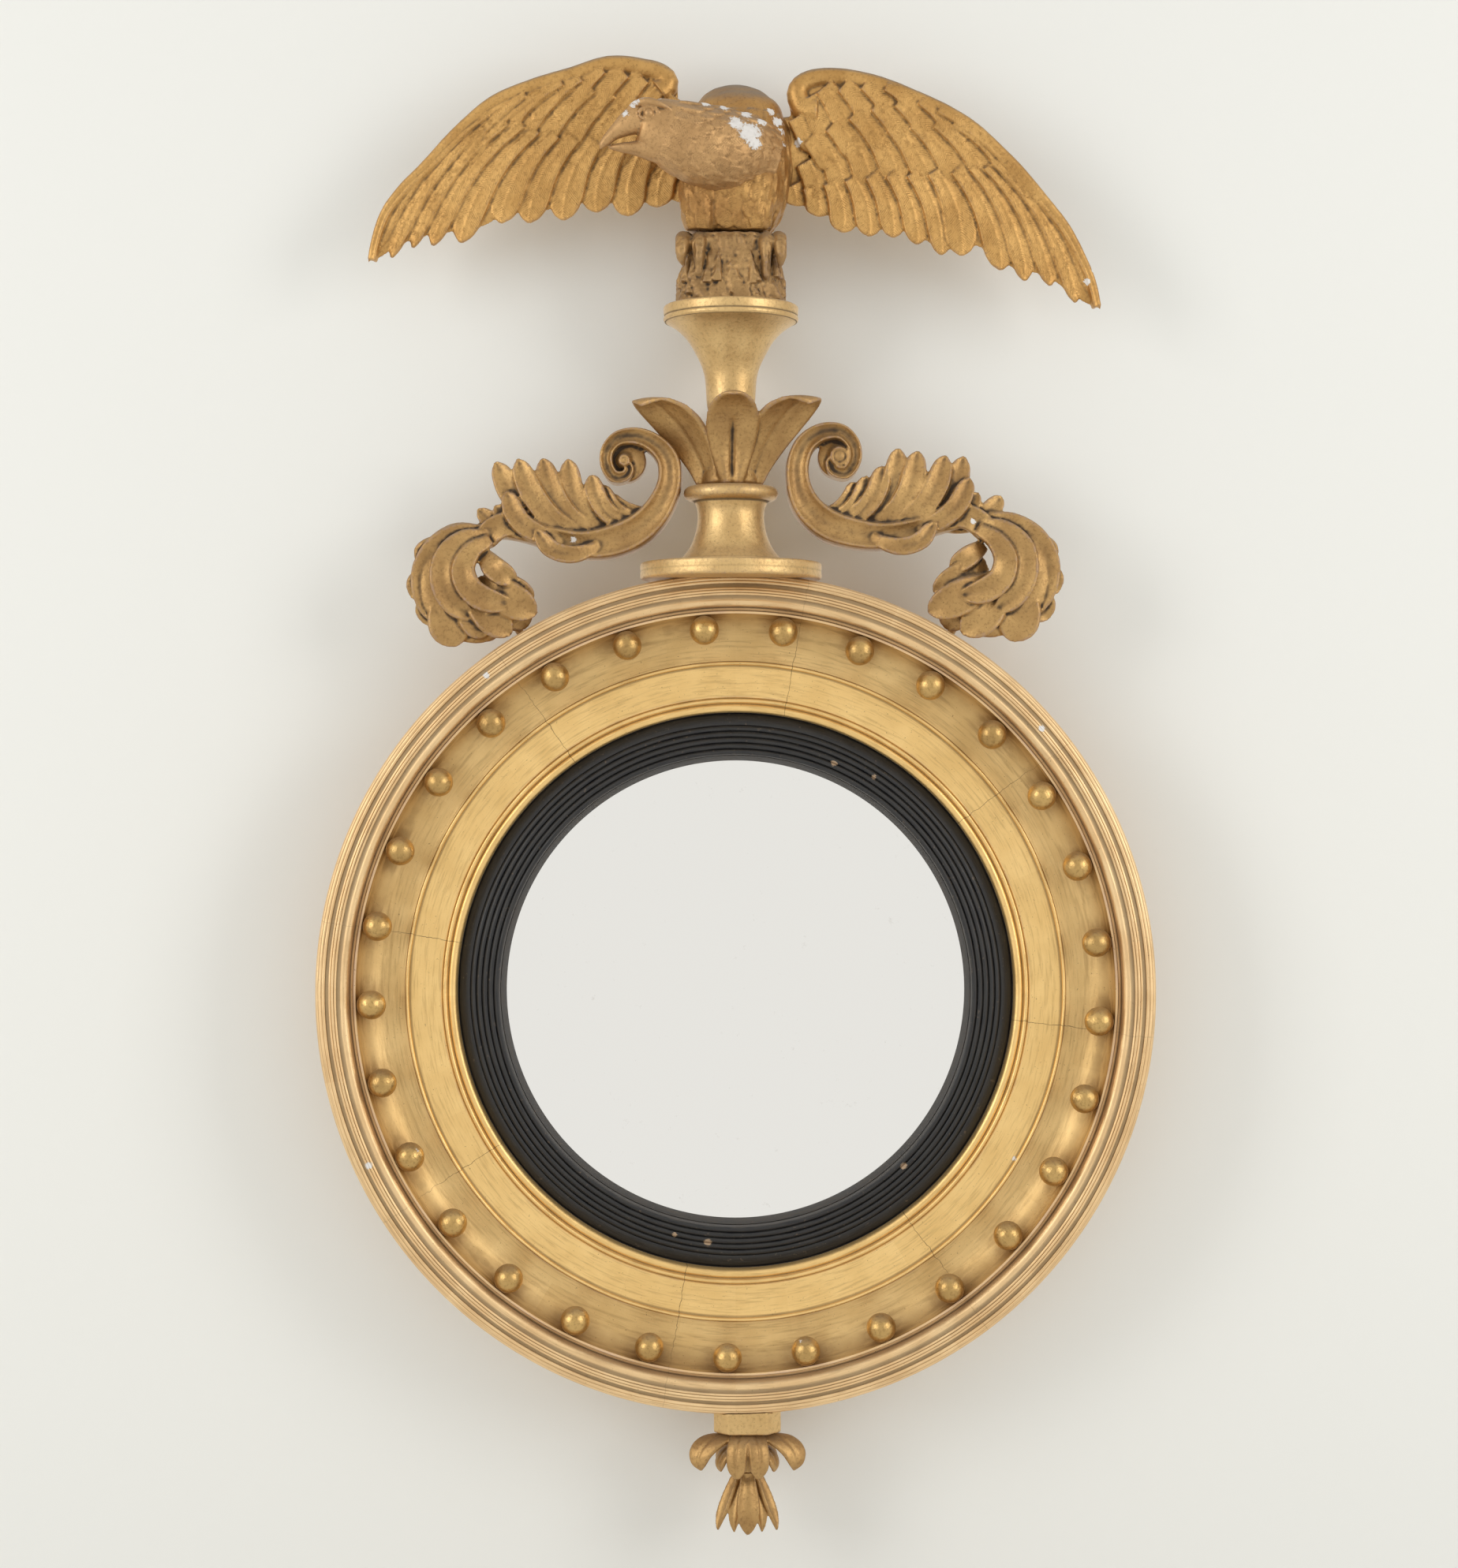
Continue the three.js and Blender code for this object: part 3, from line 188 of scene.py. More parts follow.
def blade(rows, front, back, steps, sides, face=(0, -1, 0), across=None, barbs=None):
    """A leaf or feather: rows of [x, y, z, half width, thickness]. Its front and back, in
    thicknesses, are functions of the place across (-1 to 1) and along (0 to 1)."""
    line = spline(rows, steps)
    side, out = directions(line[:, :3], face, across)
    u = np.linspace(-1, 1, sides)
    t = np.linspace(0, 1, steps)[:, None]
    heights = np.hstack([front(u[None, :], t) + 0 * t, (back(u[None, :], t) + 0 * t)[:, ::-1]])
    heights = heights * np.maximum(line[:, 4:5], 0.05)
    places = np.concatenate([u, u[::-1]])[None, :] * np.maximum(line[:, 3:4], 0.05)
    rings = line[:, None, :3] + side[:, None, :] * places[..., None] + out[:, None, :] * heights[..., None]
    marks = np.zeros(rings.shape[:2] + (2,))
    if barbs is not None:
        length = np.linalg.norm(np.diff(line[:, :3], axis=0), axis=1).sum()
        marks[..., 0] = t * length + np.abs(places) * barbs
        marks[..., 1] = 1
    return shell(rings, marks)


def limb(rows, steps, sides, face=(0, -1, 0)):
    """A rounded limb: rows of [x, y, z, half width, half depth]."""
    line = spline(rows, steps)
    side, out = directions(line[:, :3], face)
    angle = np.linspace(0, 2 * np.pi, sides, endpoint=False)[None, :]
    wide, deep = np.cos(angle) * line[:, 3:4], np.sin(angle) * line[:, 4:5]
    return shell(line[:, None, :3] + side[:, None, :] * wide[..., None] + out[:, None, :] * deep[..., None])


def object_of(name, shells):
    """An object of the shells as they are, with their points, marks and owners."""
    points, faces, marks, owners, start = [], [], [], [], 0
    for owner, (shell_points, shell_faces, shell_marks) in enumerate(shells):
        points.append(shell_points)
        marks.append(shell_marks)
        owners.append(np.full(len(shell_points), owner))
        faces += [[corner + start for corner in face] for face in shell_faces]
        start += len(shell_points)
    points = np.vstack(points)
    mesh = bpy.data.meshes.new(name)
    mesh.from_pydata((points * MM).tolist(), [], faces)
    mesh.update()
    obj = bpy.data.objects.new(name, mesh)
    bpy.context.scene.collection.objects.link(obj)
    return obj, points, np.vstack(marks), np.concatenate(owners)


def set_mark(mesh, name, values):
    mark = mesh.attributes.get(name) or mesh.attributes.new(name, "FLOAT", "POINT")
    mark.data.foreach_set("value", np.asarray(values, np.float32))


def normals(mesh, field="normal"):
    flat = np.zeros(len(mesh.vertices) * 3, np.float32)
    mesh.vertices.foreach_get(field, flat)
    return flat.reshape(-1, 3).astype(float)


def coordinates(mesh):
    return normals(mesh, "co") / MM


def move_points(mesh, points):
    mesh.vertices.foreach_set("co", (points * MM).astype(np.float32).ravel())
    mesh.update()


def spread_over(mesh, values, passes):
    """Values or points averaged with their neighbours' a number of times."""
    pairs = np.zeros(len(mesh.edges) * 2, np.int64)
    mesh.edges.foreach_get("vertices", pairs)
    a, b = pairs[0::2], pairs[1::2]
    count = len(mesh.vertices)
    near = np.maximum(np.bincount(a, minlength=count) + np.bincount(b, minlength=count), 1)
    values = np.array(values, float).reshape(count, -1)
    for _ in range(passes):
        total = np.stack([np.bincount(a, column[b], count) + np.bincount(b, column[a], count)
                          for column in values.T], axis=1)
        values = (values + total / near[:, None]) / 2
    return values


def mark_relief(mesh, reach, depth):
    """Marks hollows and ridges, from how far each point lies below or above the surface around it."""
    points = coordinates(mesh)
    rise = np.sum((points - spread_over(mesh, points, reach)) * normals(mesh), axis=1)
    set_mark(mesh, "hollow", np.clip(-rise / depth, 0, 1))
    set_mark(mesh, "ridge", np.clip(rise / depth, 0, 1))


def ripple(points, size, seed):
    """A smooth uneven pattern from -1 to 1 over points, with bumps of about the given size."""
    draw = np.random.RandomState(seed)
    total = np.zeros(len(points))
    for _ in range(6):
        way = unit(draw.normal(size=3)) * 2 * np.pi / (size * draw.uniform(0.7, 1.6))
        total += np.sin(points @ way + draw.uniform(0, 2 * np.pi))
    return total / 4


def dress(obj, materials, nodes, pick=None, sharp=40):
    """Gives a piece its finishes, its body and the nodes it stands for."""
    mesh = obj.data
    mesh.materials.clear()
    for material in materials:
        mesh.materials.append(material)
    mesh.shade_smooth()
    mesh.set_sharp_from_angle(angle=math.radians(sharp))
    if pick:
        centres = np.array([tuple(p.center) for p in mesh.polygons]) / MM
        facing = np.array([tuple(p.normal) for p in mesh.polygons])
        mesh.polygons.foreach_set("material_index", pick(centres, facing).astype(np.int32))
    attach(obj, BODY)
    if nodes:
        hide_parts(*nodes)
    return obj


def piece(name, shells, materials, nodes, slot, pick=None, sharp=40, relief=None, cutters=()):
    """A piece made of shells as they are. Relief is how far and how deep its hollows are marked."""
    obj = object_of(name, shells)[0]
    if cutters:
        cut_away(obj, cutters)
    if relief:
        mark_relief(obj.data, *relief)
    return dress(obj, materials, nodes, pick, sharp)


def cut_away(obj, cutters):
    for tool in cutters:
        away = obj.modifiers.new("cut", "BOOLEAN")
        away.operation = "DIFFERENCE"
        away.object = tool
    apply_modifiers(obj)


def carving(name, node, shells, voxel, material, dents, relief, seat=None):
    """One carved surface out of overlapping shells, softened as gesso softens it. Seat is a function
    that keeps its points out of the pieces that carry it."""
    obj, source, marks, owners = object_of(name, shells)
    fuse = obj.modifiers.new("fuse", "REMESH")
    fuse.mode = "VOXEL"
    fuse.voxel_size = voxel * MM
    gesso = obj.modifiers.new("gesso", "SMOOTH")
    gesso.factor = 0.5
    gesso.iterations = 1
    apply_modifiers(obj)
    carry_marks(obj.data, source, marks, owners)
    points = coordinates(obj.data)
    dent = ripple(points, 11, 3) * 0.6 + ripple(points, 4.5, 4) * 0.4
    points = points + normals(obj.data) * (dent * dents)[:, None]
    move_points(obj.data, points if seat is None else seat(points))
    mark_relief(obj.data, *relief)
    dress(obj, [material], [node], sharp=180)


def apply_modifiers(obj):
    graph = bpy.context.evaluated_depsgraph_get()
    made = bpy.data.meshes.new_from_object(obj.evaluated_get(graph), depsgraph=graph)
    obj.modifiers.clear()
    obj.data = made


def carry_marks(mesh, source, marks, owners):
    """Each point takes the engraving of the shell it came from, blended from the nearest points."""
    if not marks[:, 1].any():
        return
    tree = KDTree(len(source))
    for i, place in enumerate(source):
        tree.insert(place, i)
    tree.balance()
    carried = np.zeros((len(mesh.vertices), 2))
    for i, place in enumerate(coordinates(mesh)):
        near = tree.find_n(place, 4)
        index = np.array([n[1] for n in near])
        weight = 1 / (np.array([n[2] for n in near]) + 0.05) ** 2 * (owners[index] == owners[index[0]])
        carried[i] = weight @ marks[index] / weight.sum()
    set_mark(mesh, "engraving", carried[:, 0])
    set_mark(mesh, "engraved", carried[:, 1])


def cutter(piece_shell):
    """A solid that is only there to be cut away from another."""
    return object_of("cutter", [piece_shell])[0]


def discard(objects):
    for obj in objects:
        bpy.data.objects.remove(obj)


# ------------------------------------------------------------------ material nodes


def linear(colour):
    """An sRGB hex colour as the linear colour that a shader takes."""
    parts = [int(colour[i:i + 2], 16) / 255 for i in (1, 3, 5)]
    return tuple(c / 12.92 if c <= 0.04045 else ((c + 0.055) / 1.055) ** 2.4 for c in parts) + (1,)


def darker(colour, share):
    """A share of a hex colour's brightness."""
    return "#" + "".join(f"{int(int(colour[i:i + 2], 16) * share):02X}" for i in (1, 3, 5))


def add(tree, kind, inputs, output=0, **settings):
    """Adds a node with its settings and links, and gives one output. An input is a value, a hex
    colour or the output that feeds it."""
    node = tree.nodes.new("ShaderNode" + kind)
    for name, value in settings.items():
        setattr(node, name, value)
    for name, value in inputs.items():
        if isinstance(value, bpy.types.NodeSocket):
            tree.links.new(value, node.inputs[name])
        else:
            node.inputs[name].default_value = linear(value) if isinstance(value, str) else value
    return node.outputs[output]


SMOOTH = {"interpolation_type": "SMOOTHSTEP"}
COLOURS = {"output": 2, "data_type": "RGBA"}      # a Mix node for colours: 0 share, 6 first, 7 second
TIMES = {"operation": "MULTIPLY", "use_clamp": True}


def finish(name, **constants):
    """A new material's tree and shader, with the shader's plain settings."""
    material = bpy.data.materials.new(name)
    material.use_nodes = True
    shader = material.node_tree.nodes["Principled BSDF"]
    for socket, value in constants.items():
        shader.inputs[socket.replace("_", " ")].default_value = value
    return material, material.node_tree, shader


def feed(tree, shader, **links):
    for socket, value in links.items():
        tree.links.new(value, shader.inputs[socket.replace("_", " ")])


def place_in_millimetres(tree):
    place = add(tree, "TexCoord", {}, "Object")
    return add(tree, "VectorMath", {0: place, "Scale": 1 / MM}, operation="SCALE")


def place_round_the_frame(tree, place, along, across):
    """A place for patterns that run round the frame, with the angle and radius that it comes from."""
    parts = add(tree, "SeparateXYZ", {0: place}, "X").node.outputs
    angle = add(tree, "Math", {0: parts["X"], 1: parts["Z"]}, operation="ARCTAN2")
    flat = add(tree, "CombineXYZ", {"X": parts["X"], "Z": parts["Z"]})
    radius = add(tree, "VectorMath", {0: flat}, "Value", operation="LENGTH")
    way = add(tree, "VectorMath", {0: flat}, operation="NORMALIZE")
    ring = add(tree, "VectorMath", {0: way, "Scale": RIM / along}, operation="SCALE")
    layer = add(tree, "CombineXYZ", {"Y": add(tree, "Math", {0: radius, 1: across}, operation="DIVIDE")})
    depth = add(tree, "CombineXYZ", {"Y": add(tree, "Math", {0: parts["Y"], 1: across}, operation="DIVIDE")})
    both = add(tree, "VectorMath", {0: layer, 1: depth}, operation="ADD")
    return add(tree, "VectorMath", {0: ring, 1: both}, operation="ADD"), angle, radius


def patches(tree, place, size, low, high, share=1.0, detail=2.0, rough=0.5, **kind):
    """Uneven patches of about this size in millimetres, from 0 up to a share."""
    noise = add(tree, "TexNoise", {"Vector": place, "Scale": 1 / size, "Detail": detail, "Roughness": rough})
    return add(tree, "MapRange", {0: noise, 1: low, 2: high, 4: share}, **kind)


def marked(tree, name, low, high, share=1.0):
    """How strongly the mesh marks a place as a hollow or a ridge, from 0 up to a share."""
    mark = add(tree, "Attribute", {}, "Fac", attribute_name=name)
    return add(tree, "MapRange", {0: mark, 1: low, 2: high, 4: share}, **SMOOTH)


# ------------------------------------------------------------------ finishes

GESSO = "#E9E5E0"
# Brown of the painted shade and soiling beside the balls.
BALL_SHADE_AND_DIRT = "#7E5628"
SPLIT = "#4A3320"
DUST = "#857664"
PINE, PINE_GRAIN = "#B8946A", "#8C6845"
LEAF_WIDTH = 62                  # gold leaf is laid in squares of about this width
LEAF_ROW = 37                    # and in rows round the frame of about this height


def leaf_laps(tree, angle, radius):
    """Each square of gold is a little lighter or darker than the next one."""
    row = add(tree, "Math", {0: radius, 1: LEAF_ROW}, operation="SNAP")
    along = add(tree, "Math", {0: angle, 1: RIM / LEAF_WIDTH, 2: row}, operation="MULTIPLY_ADD")
    cell = add(tree, "CombineXYZ", {"X": add(tree, "Math", {0: along}, operation="FLOOR"), "Y": row})
    tone = add(tree, "TexWhiteNoise", {"Vector": cell}, "Value")
    return add(tree, "Math", {0: tone, 1: 0.4}, operation="MULTIPLY")


def frame_splits(tree, place, angle, radius):
    """Fine cracks across the frame where the segments of wood under the gesso have shrunk."""
    noise = add(tree, "TexNoise", {"Vector": place, "Scale": 1 / 6})
    at = add(tree, "Math", {0: noise, 1: 0.014, 2: angle}, operation="MULTIPLY_ADD")
    lines = None
    for degrees in SEGMENT_SPLITS:
        turn = math.radians(degrees if degrees <= 180 else degrees - 360) + 0.007
        off = add(tree, "Math", {0: at, 1: turn, 2: 0.0009}, operation="COMPARE")
        lines = off if lines is None else add(tree, "Math", {0: lines, 1: off}, operation="MAXIMUM")
    depth = add(tree, "MapRange", {0: radius, 1: INNER_RING, 2: COVE_OUTER, 3: 0.75, 4: 0.2})
    return add(tree, "Math", {0: lines, 1: depth}, **TIMES)


def ball_shade_and_dirt(tree, angle, radius, streak):
    """Painted shade beside each ball, towards the outer wall of the hollow, in brown streaks that are
    partly soiling.
    """
    phase = 0.5 - BALL_PHASE * BALL_COUNT / 360
    turns = add(tree, "Math", {0: angle, 1: BALL_COUNT / (2 * math.pi), 2: phase}, operation="MULTIPLY_ADD")
    turns = add(tree, "Math", {0: turns}, operation="FRACT")
    away = add(tree, "Math", {0: turns, 1: 0.5}, operation="SUBTRACT")
    away = add(tree, "Math", {0: away}, operation="ABSOLUTE")
    near = add(tree, "MapRange", {0: away, 1: 0.1, 2: 0.42, 3: 1.0, 4: 0.3}, **SMOOTH)
    wall = add(tree, "MapRange", {0: radius, 1: 254, 2: 280, 4: 0.9}, **SMOOTH)
    patch = add(tree, "MapRange", {0: streak, 1: 0.32, 2: 0.6, 3: 0.35, 4: 1.0})
    return add(tree, "Math", {0: add(tree, "Math", {0: near, 1: wall}, **TIMES), 1: patch}, **TIMES)


def bare_places(tree, place, streak, losses):
    """Places in millimetres, each with a radius, where the gold has come away from the gesso."""
    bare = None
    seen = add(tree, "VectorMath", {0: place, 1: (1, 0.3, 1)}, operation="MULTIPLY")
    for x, y, z, size in losses:
        away = add(tree, "VectorMath", {0: seen, 1: (x, 0.3 * y, z)}, "Value", operation="DISTANCE")
        ragged = add(tree, "Math", {0: streak, 1: size * 2.4, 2: away}, operation="MULTIPLY_ADD")
        spot = add(tree, "MapRange", {0: ragged, 1: size * 2.25, 2: size * 2.05})
        bare = spot if bare is None else add(tree, "Math", {0: bare, 1: spot}, operation="MAXIMUM")
    return bare


def engraved_lines(tree, place, spacing):
    """Barbs and veins cut with a veining tool at about this spacing; they come and go."""
    phase = add(tree, "Attribute", {}, "Fac", attribute_name="engraving")
    wander = add(tree, "TexNoise", {"Vector": place, "Scale": 1 / 8})
    phase = add(tree, "Math", {0: wander, 1: spacing * 1.4, 2: phase}, operation="MULTIPLY_ADD")
    turn = add(tree, "Math", {0: phase, 1: 2 * math.pi / spacing}, operation="MULTIPLY")
    wave = add(tree, "Math", {0: turn}, operation="SINE")
    line = add(tree, "MapRange", {0: wave, 1: 0.2, 2: 1.0}, **SMOOTH)
    line = add(tree, "Math", {0: line, 1: patches(tree, place, 5, 0.42, 0.62, detail=3.0)}, **TIMES)
    engraved = add(tree, "Attribute", {}, "Fac", attribute_name="engraved")
    return add(tree, "Math", {0: line, 1: engraved}, **TIMES)


def gilding(name, leaf, toned, worn="#B99A85", gloss=0.4, grime_and_shade=0.7, wear=0.5, dust=0.5, ring=False,
            balls=False, losses=(), spacing=0.0, metallic=0.72):
    """Gold leaf over bole and gesso: warm and satiny, darkened brown in the hollows as painted shade
    together with soiling, rubbed pinkish on the ridges and dusty where it faces up."""
    material, tree, shader = finish(name)
    place = place_in_millimetres(tree)
    fine = add(tree, "TexNoise", {"Vector": place, "Scale": 1 / 2.4, "Detail": 5.0, "Roughness": 0.65})
    layers = [(patches(tree, place, 26, 0.36, 0.66, 0.55, 4.0), toned)]
    streak = fine
    if ring:
        round_place, angle, radius = place_round_the_frame(tree, place, 30, 1.5)
        streak = add(tree, "TexNoise", {"Vector": round_place, "Scale": 1.0, "Detail": 4.0, "Roughness": 0.6})
        layers.append((leaf_laps(tree, angle, radius), toned))
        if balls:
            # Painted shade beside the balls, partly soiling.
            layers.append((ball_shade_and_dirt(tree, angle, radius, streak), BALL_SHADE_AND_DIRT))
        layers.append((frame_splits(tree, place, angle, radius), SPLIT))
    scratch = add(tree, "MapRange", {0: streak, 1: 0.5, 2: 0.68, 4: 0.45})
    # Painted shade and soiling: the hollows that the mesh marks are darkened towards the toned brown.
    hollow_grime_and_shade = marked(tree, "hollow", 0.08, 0.7, grime_and_shade)
    patch = add(tree, "MapRange", {0: streak, 1: 0.42, 2: 0.62, 4: wear})
    rub = add(tree, "Math", {0: marked(tree, "ridge", 0.15, 0.9), 1: patch}, **TIMES)
    up = add(tree, "SeparateXYZ", {0: add(tree, "NewGeometry", {}, "Normal")}, "Z")
    settled = add(tree, "MapRange", {0: up, 1: 0.35, 2: 0.95, 4: dust}, **SMOOTH)
    speck = patches(tree, place, 1.3, 0.7, 0.75, 0.6)
    layers += [(scratch, darker(toned, 0.8)), (hollow_grime_and_shade, darker(toned, 0.42)), (rub, worn), (settled, DUST),
               (speck, darker(toned, 0.4))]
    height = add(tree, "Math", {0: streak, 1: fine}, operation="ADD")
    if spacing:
        cut = engraved_lines(tree, place, spacing)
        layers.append((add(tree, "Math", {0: cut, 1: 0.32}, **TIMES), darker(toned, 0.5)))
        height = add(tree, "Math", {0: cut, 1: -1.1, 2: height}, operation="MULTIPLY_ADD")
    dull = add(tree, "Math", {0: hollow_grime_and_shade, 1: rub}, operation="ADD")
    dull = add(tree, "Math", {0: dull, 1: settled}, operation="ADD")
    metal = add(tree, "MapRange", {0: dull, 1: 0.0, 2: 1.0, 3: metallic, 4: 0.05})
    if losses:
        bare = bare_places(tree, place, streak, losses)
        layers.append((bare, GESSO))
        metal = add(tree, "Mix", {0: bare, 2: metal, 3: 0.0})
        height = add(tree, "Math", {0: bare, 1: -2.0, 2: height}, operation="MULTIPLY_ADD")
    colour = leaf
    for share, laid in layers:
        colour = add(tree, "Mix", {0: share, 6: colour, 7: laid}, **COLOURS)
    rough = add(tree, "MapRange", {0: dull, 1: 0.0, 2: 1.0, 3: gloss, 4: 0.8})
    bump = add(tree, "Bump", {"Height": height, "Distance": 0.3 * MM, "Strength": 0.5})
    feed(tree, shader, Base_Color=colour, Metallic=metal, Roughness=rough, Normal=bump)
    return material


def ebonised_wood(name):
    """Turned wood painted black and waxed: a low sheen, fine turning lines and brown scuffs."""
    material, tree, shader = finish(name, IOR=1.47)
    place = place_in_millimetres(tree)
    round_place, _, _ = place_round_the_frame(tree, place, 24, 0.9)
    streak = add(tree, "TexNoise", {"Vector": round_place, "Scale": 1.0, "Detail": 4.0})
    tone = add(tree, "MapRange", {0: streak, 1: 0.35, 2: 0.75})
    colour = add(tree, "Mix", {0: tone, 6: "#1B1B1D", 7: "#34322F"}, **COLOURS)
    chip = patches(tree, place, 3.2, 0.66, 0.72, 0.5, 4.0)
    ridge = add(tree, "Attribute", {}, "Fac", attribute_name="ridge")
    rub = add(tree, "MapRange", {0: ridge, 1: 0.2, 2: 1.0, 4: 0.35})
    rub = add(tree, "Math", {0: rub, 1: tone, 2: chip}, operation="MULTIPLY_ADD", use_clamp=True)
    colour = add(tree, "Mix", {0: rub, 6: colour, 7: "#6A5B4C"}, **COLOURS)
    bare = bare_places(tree, place, streak, SLIP_CHIPS)
    colour = add(tree, "Mix", {0: bare, 6: colour, 7: "#A88F74"}, **COLOURS)
    rough = add(tree, "MapRange", {0: streak, 1: 0.3, 2: 0.7, 3: 0.34, 4: 0.6})
    bump = add(tree, "Bump", {"Height": streak, "Distance": 0.15 * MM, "Strength": 0.5})
    feed(tree, shader, Base_Color=colour, Roughness=rough, Normal=bump)
    return material


def silvered_glass(name):
    """Old convex plate, silvered behind: a clear pale reflection with faint grey foxing."""
    material, tree, shader = finish(name, Metallic=1.0)
    place = place_in_millimetres(tree)
    fox = patches(tree, place, 8, 0.62, 0.78, 0.4, 7.0, 0.72, **SMOOTH)
    colour = add(tree, "Mix", {0: fox, 6: "#FAF9F6", 7: "#CFCBC2"}, **COLOURS)
    rough = add(tree, "MapRange", {0: fox, 1: 0.0, 2: 1.0, 3: 0.02, 4: 0.3})
    feed(tree, shader, Base_Color=colour, Roughness=rough)
    return material


def bare_pine(name):
    """Unfinished pine gone brown: broad grain across the back and stained patches."""
    material, tree, shader = finish(name, Roughness=0.82)
    place = place_in_millimetres(tree)
    stretch = add(tree, "VectorMath", {0: place, 1: (0.025, 1.0, 1.0)}, operation="MULTIPLY")
    warp = add(tree, "TexNoise", {"Vector": stretch, "Scale": 1 / 30, "Detail": 2.0})
    ring_lines = add(tree, "Math", {0: warp, 1: 58}, operation="MULTIPLY")
    grain = add(tree, "Math", {0: ring_lines}, operation="SINE")
    share = add(tree, "MapRange", {0: grain, 1: -0.6, 2: 1.0, 4: 0.7})
    colour = add(tree, "Mix", {0: share, 6: PINE, 7: PINE_GRAIN}, **COLOURS)
    stain = patches(tree, place, 70, 0.45, 0.75, 0.5, 5.0)
    colour = add(tree, "Mix", {0: stain, 6: colour, 7: darker(PINE_GRAIN, 0.6)}, **COLOURS)
    bump = add(tree, "Bump", {"Height": share, "Distance": 0.3 * MM, "Strength": 0.4})
    feed(tree, shader, Base_Color=colour, Normal=bump)
    return material


def ochre_wash(name):
    """Yellow distemper brushed thinly on the sides, where the gold stops."""
    material, tree, shader = finish(name, Roughness=0.72)
    place = place_in_millimetres(tree)
    round_place, _, _ = place_round_the_frame(tree, place, 26, 2.4)
    streak = add(tree, "TexNoise", {"Vector": round_place, "Scale": 1.0, "Detail": 5.0})
    streak = add(tree, "MapRange", {0: streak, 1: 0.3, 2: 0.7})
    colour = add(tree, "Mix", {0: streak, 6: "#CBA05A", 7: "#AE834B"}, **COLOURS)
    worn = patches(tree, place, 24, 0.6, 0.75, 0.6, 6.0)
    colour = add(tree, "Mix", {0: worn, 6: colour, 7: "#6F4E31"}, **COLOURS)
    feed(tree, shader, Base_Color=colour)
    return material


def old_metal(name, bright, dark, gloss):
    """Iron or brass gone dull: brown patches between places that hands keep bright."""
    material, tree, shader = finish(name)
    place = place_in_millimetres(tree)
    patch = patches(tree, place, 3.5, 0.35, 0.7, 1.0, 5.0, 0.65, **SMOOTH)
    colour = add(tree, "Mix", {0: patch, 6: bright, 7: dark}, **COLOURS)
    rough = add(tree, "MapRange", {0: patch, 1: 0.0, 2: 1.0, 3: gloss, 4: gloss + 0.3})
    metal = add(tree, "MapRange", {0: patch, 1: 0.0, 2: 1.0, 3: 1.0, 4: 0.4})
    pits = add(tree, "TexNoise", {"Vector": place, "Scale": 1 / 0.7, "Detail": 3.0})
    bump = add(tree, "Bump", {"Height": pits, "Distance": 0.08 * MM, "Strength": 0.6})
    feed(tree, shader, Base_Color=colour, Roughness=rough, Metallic=metal, Normal=bump)
    return material


def wall_paint(name, colour, hidden_from):
    """Matt paint that some rays pass through, so that it doesn't stand in the light's way."""
    material, tree, shader = finish(name, Roughness=0.9, Specular_IOR_Level=0.0, Base_Color=linear(colour))
    clear = add(tree, "BsdfTransparent", {})
    gone = hidden_from(tree)
    both = add(tree, "MixShader", {0: gone, 1: shader.outputs[0], 2: clear})
    tree.links.new(both, tree.nodes["Material Output"].inputs["Surface"])
    return material


# ------------------------------------------------------------------ sections of the round frame

SIGHT, SLIP_OUTER = 178, 210
FLANGE = 214
GLASS_RADIUS, GLASS_CROWN, GLASS_EDGE = 190.5, 25, 36.3
INNER_RING, FRIEZE_DEPTH = 248, 55.6
COVE_INNER, COVE_OUTER = 248.3, 283
COVE_INNER_DEPTH, COVE_OUTER_DEPTH, COVE_SIZE = 57.1, 77.1, 30
LEDGE_DEPTH, LEDGE_RADIUS = 24.3, 206
BACK_DEPTH = 8.3
SIDE_RADIUS, SIDE_TOP = 297.9, (309.2, 74.6)
RIM_BEAD = (306.5, 80)           # middle of the outermost moulding, as radius and depth
RING_STEPS = 240


def cove_centre():
    run, rise = COVE_OUTER - COVE_INNER, COVE_OUTER_DEPTH - COVE_INNER_DEPTH
    chord = math.hypot(run, rise)
    lift = math.sqrt(COVE_SIZE**2 - (chord / 2) ** 2)
    return ((COVE_INNER + COVE_OUTER) / 2 - lift * rise / chord,
            (COVE_INNER_DEPTH + COVE_OUTER_DEPTH) / 2 + lift * run / chord)


COVE_RADIUS, COVE_DEPTH = cove_centre()


def reeded_arc(radius, depth, size, start, end, reeds, cut):
    """An arc with fine reeds along it, cut this deep between them."""
    points, steps = [], reeds * 6
    for share in np.arange(steps + 1) / steps:
        turn = math.radians(start + (end - start) * share)
        reach = size - cut * (1 - abs(math.sin(math.pi * reeds * share))) ** 2
        points.append([radius + reach * math.cos(turn), depth + reach * math.sin(turn)])
    return points


